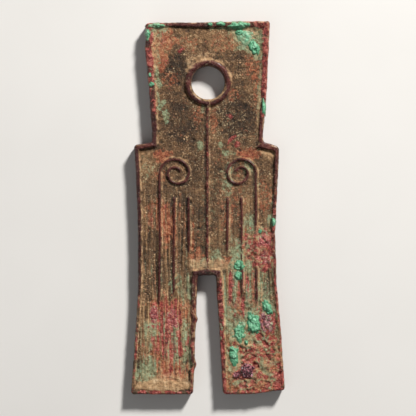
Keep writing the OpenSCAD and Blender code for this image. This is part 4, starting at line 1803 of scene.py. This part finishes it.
@dataclass(frozen=True)
class PatinaFinish:
    """Old bronze: speckled olive brown, with dark red crests, painted glints on them, and stains of soil,
    red, orange and green.
    """

    metal: Tones = (
        srgb(44, 32, 21), srgb(72, 53, 35), srgb(98, 72, 48),
        srgb(126, 94, 63), srgb(156, 121, 85), srgb(196, 160, 118),
    )
    soil: Tones = (srgb(158, 120, 86), srgb(200, 162, 120), srgb(224, 194, 156))
    ember: Tones = (srgb(112, 50, 34), srgb(160, 82, 52), srgb(190, 114, 78), srgb(206, 152, 112))
    film: Tones = (srgb(94, 100, 72), srgb(137, 145, 108), srgb(168, 173, 135), srgb(142, 178, 146))
    red: Tones = (srgb(70, 20, 24), srgb(132, 40, 42), srgb(171, 68, 62), srgb(212, 138, 122))
    crest: Tones = (srgb(38, 16, 15), srgb(68, 27, 25), srgb(96, 41, 37), srgb(142, 87, 77))
    painted_glint: Colour = srgb(206, 178, 166)
    speck_and_sparkle: Tones = (srgb(214, 164, 122), srgb(224, 192, 148), srgb(200, 188, 150))
    pit: Colour = srgb(38, 30, 25)

    def material(self) -> Material:
        """Works out the nodes: a speckled field, then one stain after another over it.

        Returns:
            The material.
        """
        t = ShaderTree("old_bronze_patina")
        place = t.place()
        long_place = t.place((1.0, 0.06, 1.0))
        crest, soil, ember, film, red, shade, comb = (t.mark(stain.value) for stain in Stain)
        fine = t.grain(place, 0.55, 1.0, 5.0, 0.8)
        hairs = t.grain(long_place, 0.3, 2.0, 3.0, 0.6)
        clouds = t.grain(place, 3.4, 3.0)
        crowd = t.ramp(t.grain(place, 1.3, 5.0), 0.3, 0.8)
        flecks = t.scatter(0.12 + 0.2 * crowd, t.grain(place, 0.24, 41.0, 2.0, 0.5), 0.08)
        light_dots = t.dots(place, 0.33, 0.62) * crowd
        dark_dots = t.dots(t.place((0.93, 1.04, 1.0)), 0.45, 0.5) * (1.0 - crowd)
        dark_flecks = t.scatter(0.3 - 0.18 * crowd, t.grain(place, 0.26, 43.0, 2.0, 0.5), 0.08)

        grain = fine + 0.7 * comb * (hairs - fine)
        tone = 0.47 + 0.85 * (grain - 0.5) + 0.2 * (clouds - 0.5) - 0.27 * shade
        colour = t.palette(tone, *self.metal)
        colour = t.blend(0.5 * dark_flecks, colour, self.pit)
        # Pale specks of tan crust, made bright enough to stand also as painted sparkle
        colour = t.blend(0.6 * light_dots + 0.4 * flecks, colour, t.palette(clouds, *self.speck_and_sparkle))
        colour = t.blend(0.6 * dark_dots, colour, self.pit)
        for seed, size, soft, cover, strength, colours in (
            (11.0, 0.5, 0.15, 0.85 * ember + 0.06, 0.8, self.ember),
            (17.0, 0.62, 0.26, 0.84 * film, 0.85, self.film),
            (23.0, 0.6, 0.1, 0.95 * red, 0.9, self.red),
        ):
            blots = t.grain(place, size, seed, 5.0, 0.72, 0.4)
            streaks = t.grain(long_place, 0.5, seed + 1.0, 4.0, 0.62)
            spread = blots + 0.75 * comb * (streaks - blots)
            inner = t.grain(place, 0.42, seed + 2.0, 4.0, 0.75)
            tint = t.palette(t.ramp(inner, 0.15, 0.85), *colours)
            share = strength * t.scatter(cover, spread, soft) * (1.0 - 0.5 * dark_dots)
            colour = t.blend(share, colour, tint)
        patches = t.grain(place, 0.7, 31.0, 4.0, 0.65)
        crest_share = t.scatter(1.2 * crest, 0.6 * patches + 0.2)
        crest_share = crest_share * (1.0 - 0.85 * t.scatter(0.95 * red, patches))
        crest_tone = 0.5 * fine + 0.5 * patches - 0.2 * shade
        # Sparse pale specks on the crests are painted glints
        crest_colour = t.blend(0.6 * t.scatter(0.12, fine), t.palette(crest_tone, *self.crest), self.painted_glint)
        colour = t.blend(0.94 * crest_share, colour, crest_colour)
        soil_share = t.scatter(0.9 * soil, 0.7 * fine + 0.15, 0.3)
        colour = t.blend(0.92 * soil_share, colour, t.palette(patches, *self.soil))

        rough = 0.52 - 0.18 * crest_share + 0.2 * soil_share + 0.3 * (fine - 0.5) - 0.12 * red
        height = 0.6 * grain + 0.4 * patches + 0.25 * light_dots + 0.2 * flecks
        height = height - 0.3 * dark_dots - 0.2 * dark_flecks
        return t.finish(
            Base_Color=colour,
            Roughness=rough,
            Metallic=0.2 * crest_share,
            Specular_IOR_Level=0.38,
            Coat_Weight=0.28 * crest_share + 0.14 * red,
            Coat_Roughness=0.2,
            Normal=t.bump(height * (1.0 - 0.35 * crest_share), 0.28),
        )


@dataclass(frozen=True)
class MalachiteFinish:
    """Malachite: bright green, lighter on the crowns of its lumps and darker between, partly painted
    highlight and shade.
    """

    greens: Tones = (srgb(40, 92, 66), srgb(72, 136, 99), srgb(102, 168, 130), srgb(150, 200, 168))
    pale: Colour = srgb(136, 152, 121)
    rust: Colour = srgb(120, 92, 66)

    def material(self) -> Material:
        """Works out the nodes.

        Returns:
            The material.
        """
        t = ShaderTree("malachite")
        place = t.place()
        fine = t.grain(place, 0.15, 1.0)
        bands = t.grain(place, 0.4, 2.0, 4.0, 0.6, 1.5)
        blots = t.grain(place, 0.7, 3.0)
        crown = t.mark("crown")
        # Lighter green on lump crowns and darker between them: painted highlight and shade, mixed with the
        # mineral's banding
        colour = t.palette(0.8 * crown + 0.4 * bands - 0.02 + 0.3 * (fine - 0.5), *self.greens)
        veil = t.scatter(0.5 - 1.0 * crown + 0.75 * t.mark("tint"), 0.5 * fine + 0.5 * blots)
        colour = t.blend(0.75 * veil, colour, self.pale)
        colour = t.blend(0.7 * t.scatter(0.12 - 0.3 * crown, blots), colour, self.rust)
        return t.finish(
            Base_Color=colour,
            Roughness=0.34 + 0.25 * (fine - 0.5),
            Normal=t.bump(0.6 * bands + 0.4 * fine, 0.06),
        )


@dataclass(frozen=True)
class CupriteFinish:
    """Cuprite crust: crimson and purple scales, with orange and pale green specks."""

    reds: Tones = (srgb(84, 32, 38), srgb(136, 56, 56), srgb(172, 94, 90), srgb(212, 162, 150))
    plums: Tones = (srgb(56, 26, 36), srgb(104, 54, 64), srgb(152, 104, 110), srgb(206, 170, 168))
    orange: Colour = srgb(190, 122, 92)
    green: Colour = srgb(172, 176, 140)

    def material(self) -> Material:
        """Works out the nodes.

        Returns:
            The material.
        """
        t = ShaderTree("cuprite_crust")
        place = t.place()
        fine = t.grain(place, 0.16, 1.0)
        specks = t.grain(place, 0.3, 2.0)
        blots = t.grain(place, 0.6, 3.0, 4.0)
        crown = t.mark("crown")
        tone = t.grain(place, 0.45, 5.0, 4.0, 0.7)
        plum = t.mark("tint")
        colour = t.blend(plum, t.palette(tone, *self.reds), t.palette(tone, *self.plums))
        rust = t.scatter(0.28, t.grain(place, 0.8, 7.0, 4.0, 0.62, 0.5)) * (1.0 - plum)
        colour = t.blend(0.85 * rust, colour, self.orange)
        colour = t.blend(0.85 * t.scatter(0.36 - 0.3 * crown, blots), colour, self.green)
        return t.finish(
            Base_Color=colour,
            Roughness=0.36 + 0.3 * (fine - 0.5),
            Normal=t.bump(0.6 * specks + 0.4 * fine, 0.2),
        )


@dataclass(frozen=True)
class CrystalFinish:
    """Cuprite crystals: very dark purple, with pale specks as painted glints."""

    plums: Tones = (srgb(44, 17, 25), srgb(104, 50, 62), srgb(184, 124, 132))

    def material(self) -> Material:
        """Works out the nodes.

        Returns:
            The material.
        """
        t = ShaderTree("cuprite_crystal")
        # The palest specks stand as painted glints on the crystal faces
        specks = t.ramp(t.grain(t.place(), 0.28, 1.0), 0.22, 0.8)
        return t.finish(Base_Color=t.palette(specks, *self.plums), Roughness=0.14 + 0.2 * specks, IOR=1.9)


@dataclass(frozen=True)
class FloorFinish:
    """Plain pale floor, hardly mottled."""

    pale: Colour = (0.72, 0.71, 0.69, 1.0)
    paler: Colour = (0.76, 0.75, 0.73, 1.0)

    def material(self) -> Material:
        """Works out the nodes.

        Returns:
            The material.
        """
        t = ShaderTree("pale_floor")
        colour = t.blend(t.grain(t.place(), 30.0, 1.0), self.pale, self.paler)
        return t.finish(Base_Color=colour, Roughness=0.85)


PATINA = PatinaFinish()
MALACHITE = MalachiteFinish()
CUPRITE = CupriteFinish()
CRYSTAL = CrystalFinish()

# Each crust: its random field, the depth of its gaps, and its spots
CRUST_ROWS: dict[str, tuple] = {
    "malachite_top_edge": (
        211, 0.2, (4.75, 28.15, 2.0, 0.7, 2, 0.42, 0.3), (1.95, 28.45, 0.95, 0.4), (0.3, 28.4, 0.5, 0.4),
    ),
    "malachite_left_corner": (
        223, 0.45, (-7.95, 28.15, 1.6, 0.5, 0, 0.36, 0.6), (-9.3, 26.9, 0.5, 1.1, 0, 0.42, 0.3),
    ),
    "malachite_right_corner": (
        227, 0.45, (5.7, 26.4, 1.65, 1.6, 20, 0.24, 0.85), (7.15, 24.9, 1.05, 1.6, 15),
        (4.8, 27.2, 0.9, 0.6),
    ),
    "malachite_head_edges": (
        229, 0.2, (8.62, 15.6, 0.4, 1.5, 3, 0.3), (-8.7, 19.1, 0.6, 0.42, 0, 0.3),
        (-9.0, 20.6, 0.3, 0.45, 0, 0.3),
    ),
    "malachite_side_nodules": (233, 0.2, (10.1, -2.2, 0.42, 0.75), (8.05, -3.65, 0.38, 0.42)),
    "malachite_slot_root": (239, 0.2, (4.85, -8.9, 1.05, 1.0), (4.65, -10.5, 0.7, 0.95, 10)),
    "malachite_leg_outer": (241, 0.2, (9.2, -15.4, 0.8, 1.5, 28)),
    "malachite_leg_middle": (251, 0.2, (7.05, -17.8, 1.28, 2.2, 6, 0.48)),
    "malachite_leg_inner": (
        257, 0.2, (4.9, -19.2, 1.15, 1.8, -12, 0.42, 0.25), (5.95, -20.85, 0.42, 0.5),
    ),
    "malachite_foot_inner": (263, 0.2, (3.95, -22.8, 0.9, 1.95, 4)),
    "cuprite_waist": (269, 0.2, (8.8, -5.0, 1.4, 1.7, -5, 0.2), (8.7, -7.6, 1.4, 1.5, 0, 0.18)),
    "cuprite_leg_outer": (271, 0.2, (8.95, -17.6, 1.35, 2.1, 10, 0.3, 0.85)),
    "cuprite_left_leg": (277, 0.2, (-8.4, -16.4, 1.0, 2.0, 3, 0.1), (-5.5, -17.4, 1.3, 2.2, -8, 0.1)),
}
CRUSTS: tuple[Crust, ...] = tuple(
    Crust(node, Habit(node.split("_")[0]), tuple(Spot(*row) for row in rows), seed, gaps=gaps)
    for node, (seed, gaps, *rows) in CRUST_ROWS.items()
)


# Film and soil around malachite: how much wider than the spot, and how strong
HALOES = ((Stain.FILM, 0.55, 0.75), (Stain.SOIL, 0.4, 0.34))


def laid_stains() -> list[tuple[Stain, Oval]]:
    """Every stain of the face: the rows of the table, then a halo around each spot of malachite.

    Returns:
        The stains in order, each with its oval.
    """
    laid = [(stain, Oval(*row)) for stain, rows in STAIN_ROWS.items() for row in rows]
    spots = [spot for crust in CRUSTS if crust.habit is Habit.GRAPE for spot in crust.spots]
    for spot in spots:
        for stain, wider, strength in HALOES:
            half_x, half_y = spot.half_x + wider, spot.half_y + wider
            laid.append((stain, Oval(spot.x, spot.y, half_x, half_y, strength, spot.turn)))
    return laid


# The studio


@dataclass
class Studio:
    """Pale floor, soft lights and the camera, which looks straight down on the face. Lengths are metres."""

    floor_half: float = 1.2
    floor_z: float = -0.00005
    lens: float = 200.0
    sensor: float = 36.0
    frame_width: float = 0.064235
    face_z: float = 0.0024
    world_strength: float = 0.11

    def floor(self) -> None:
        """Makes the floor: a flat square net."""
        half = self.floor_half / MM
        side = np.linspace(-half, half, 9)
        x, y = np.meshgrid(side, side)
        ids = np.arange(x.size).reshape(x.shape)
        quads = np.stack([ids[:-1, :-1], ids[:-1, 1:], ids[1:, 1:], ids[1:, :-1]], axis=2).reshape(-1, 4)
        points = np.stack([x.ravel(), y.ravel(), np.full(x.size, self.floor_z / MM)], axis=1)
        floor = make_mesh("floor", points, [quads], {})
        floor.data.materials.append(FloorFinish().material())

    def light(self, name: str, place: Numbers, size: float, power: float, tint: Numbers) -> None:
        """Adds one square soft light that faces the coin.

        Args:
            name: name of the light.
            place: where it hangs, in metres.
            size: its side, in metres.
            power: its power in watts.
            tint: its colour.
        """
        lamp = bpy.data.lights.new(name, "AREA")
        lamp.size = size
        lamp.energy = power
        lamp.color = tint
        holder = bpy.data.objects.new(name, lamp)
        holder.location = place
        holder.rotation_euler = (-Vector(place)).to_track_quat("-Z", "Y").to_euler()
        holder.visible_camera = False
        bpy.context.scene.collection.objects.link(holder)

    def world(self) -> None:
        """Sets an even pale surround."""
        world = bpy.data.worlds.new("pale_surround")
        world.use_nodes = True
        surround = world.node_tree.nodes["Background"]
        surround.inputs["Color"].default_value = (1.0, 1.0, 1.0, 1.0)
        surround.inputs["Strength"].default_value = self.world_strength
        bpy.context.scene.world = world

    def camera(self) -> None:
        """Hangs the camera over the coin's middle so that the frame is frame_width wide at the face."""
        lens = bpy.data.cameras.new("camera")
        lens.lens = self.lens
        lens.sensor_width = self.sensor
        lens.clip_start, lens.clip_end = 0.01, 10.0
        camera = bpy.data.objects.new("camera", lens)
        camera.location = (0.0, 0.0, self.face_z + self.frame_width / self.sensor * self.lens)
        bpy.context.scene.collection.objects.link(camera)
        bpy.context.scene.camera = camera

    def build(self) -> None:
        """Makes the whole studio."""
        self.floor()
        self.light("key", (0.21, 0.35, 0.28), 0.07, 4.0, (1.0, 0.975, 0.94))
        self.light("fill", (-0.25, -0.2, 0.4), 0.5, 0.35, (1.0, 0.985, 0.97))
        self.world()
        self.camera()
        bpy.context.scene.view_settings.view_transform = "Standard"


def report(piece: Piece) -> None:
    """Logs a piece's name and how many faces it has."""
    log.info("%s: %d faces", piece.name, len(piece.data.polygons))


def main() -> None:
    """Builds the coin, its crusts and the studio."""
    logging.basicConfig(level=logging.INFO, format="%(message)s")
    Studio().build()
    coin = Casting()
    casting = coin.build()
    coin.dress(casting)
    report(casting)
    for growth in (*CRUSTS, Druse()):
        piece = growth.build(coin)
        growth.dress(piece)
        report(piece)


if __name__ == "__main__":
    main()
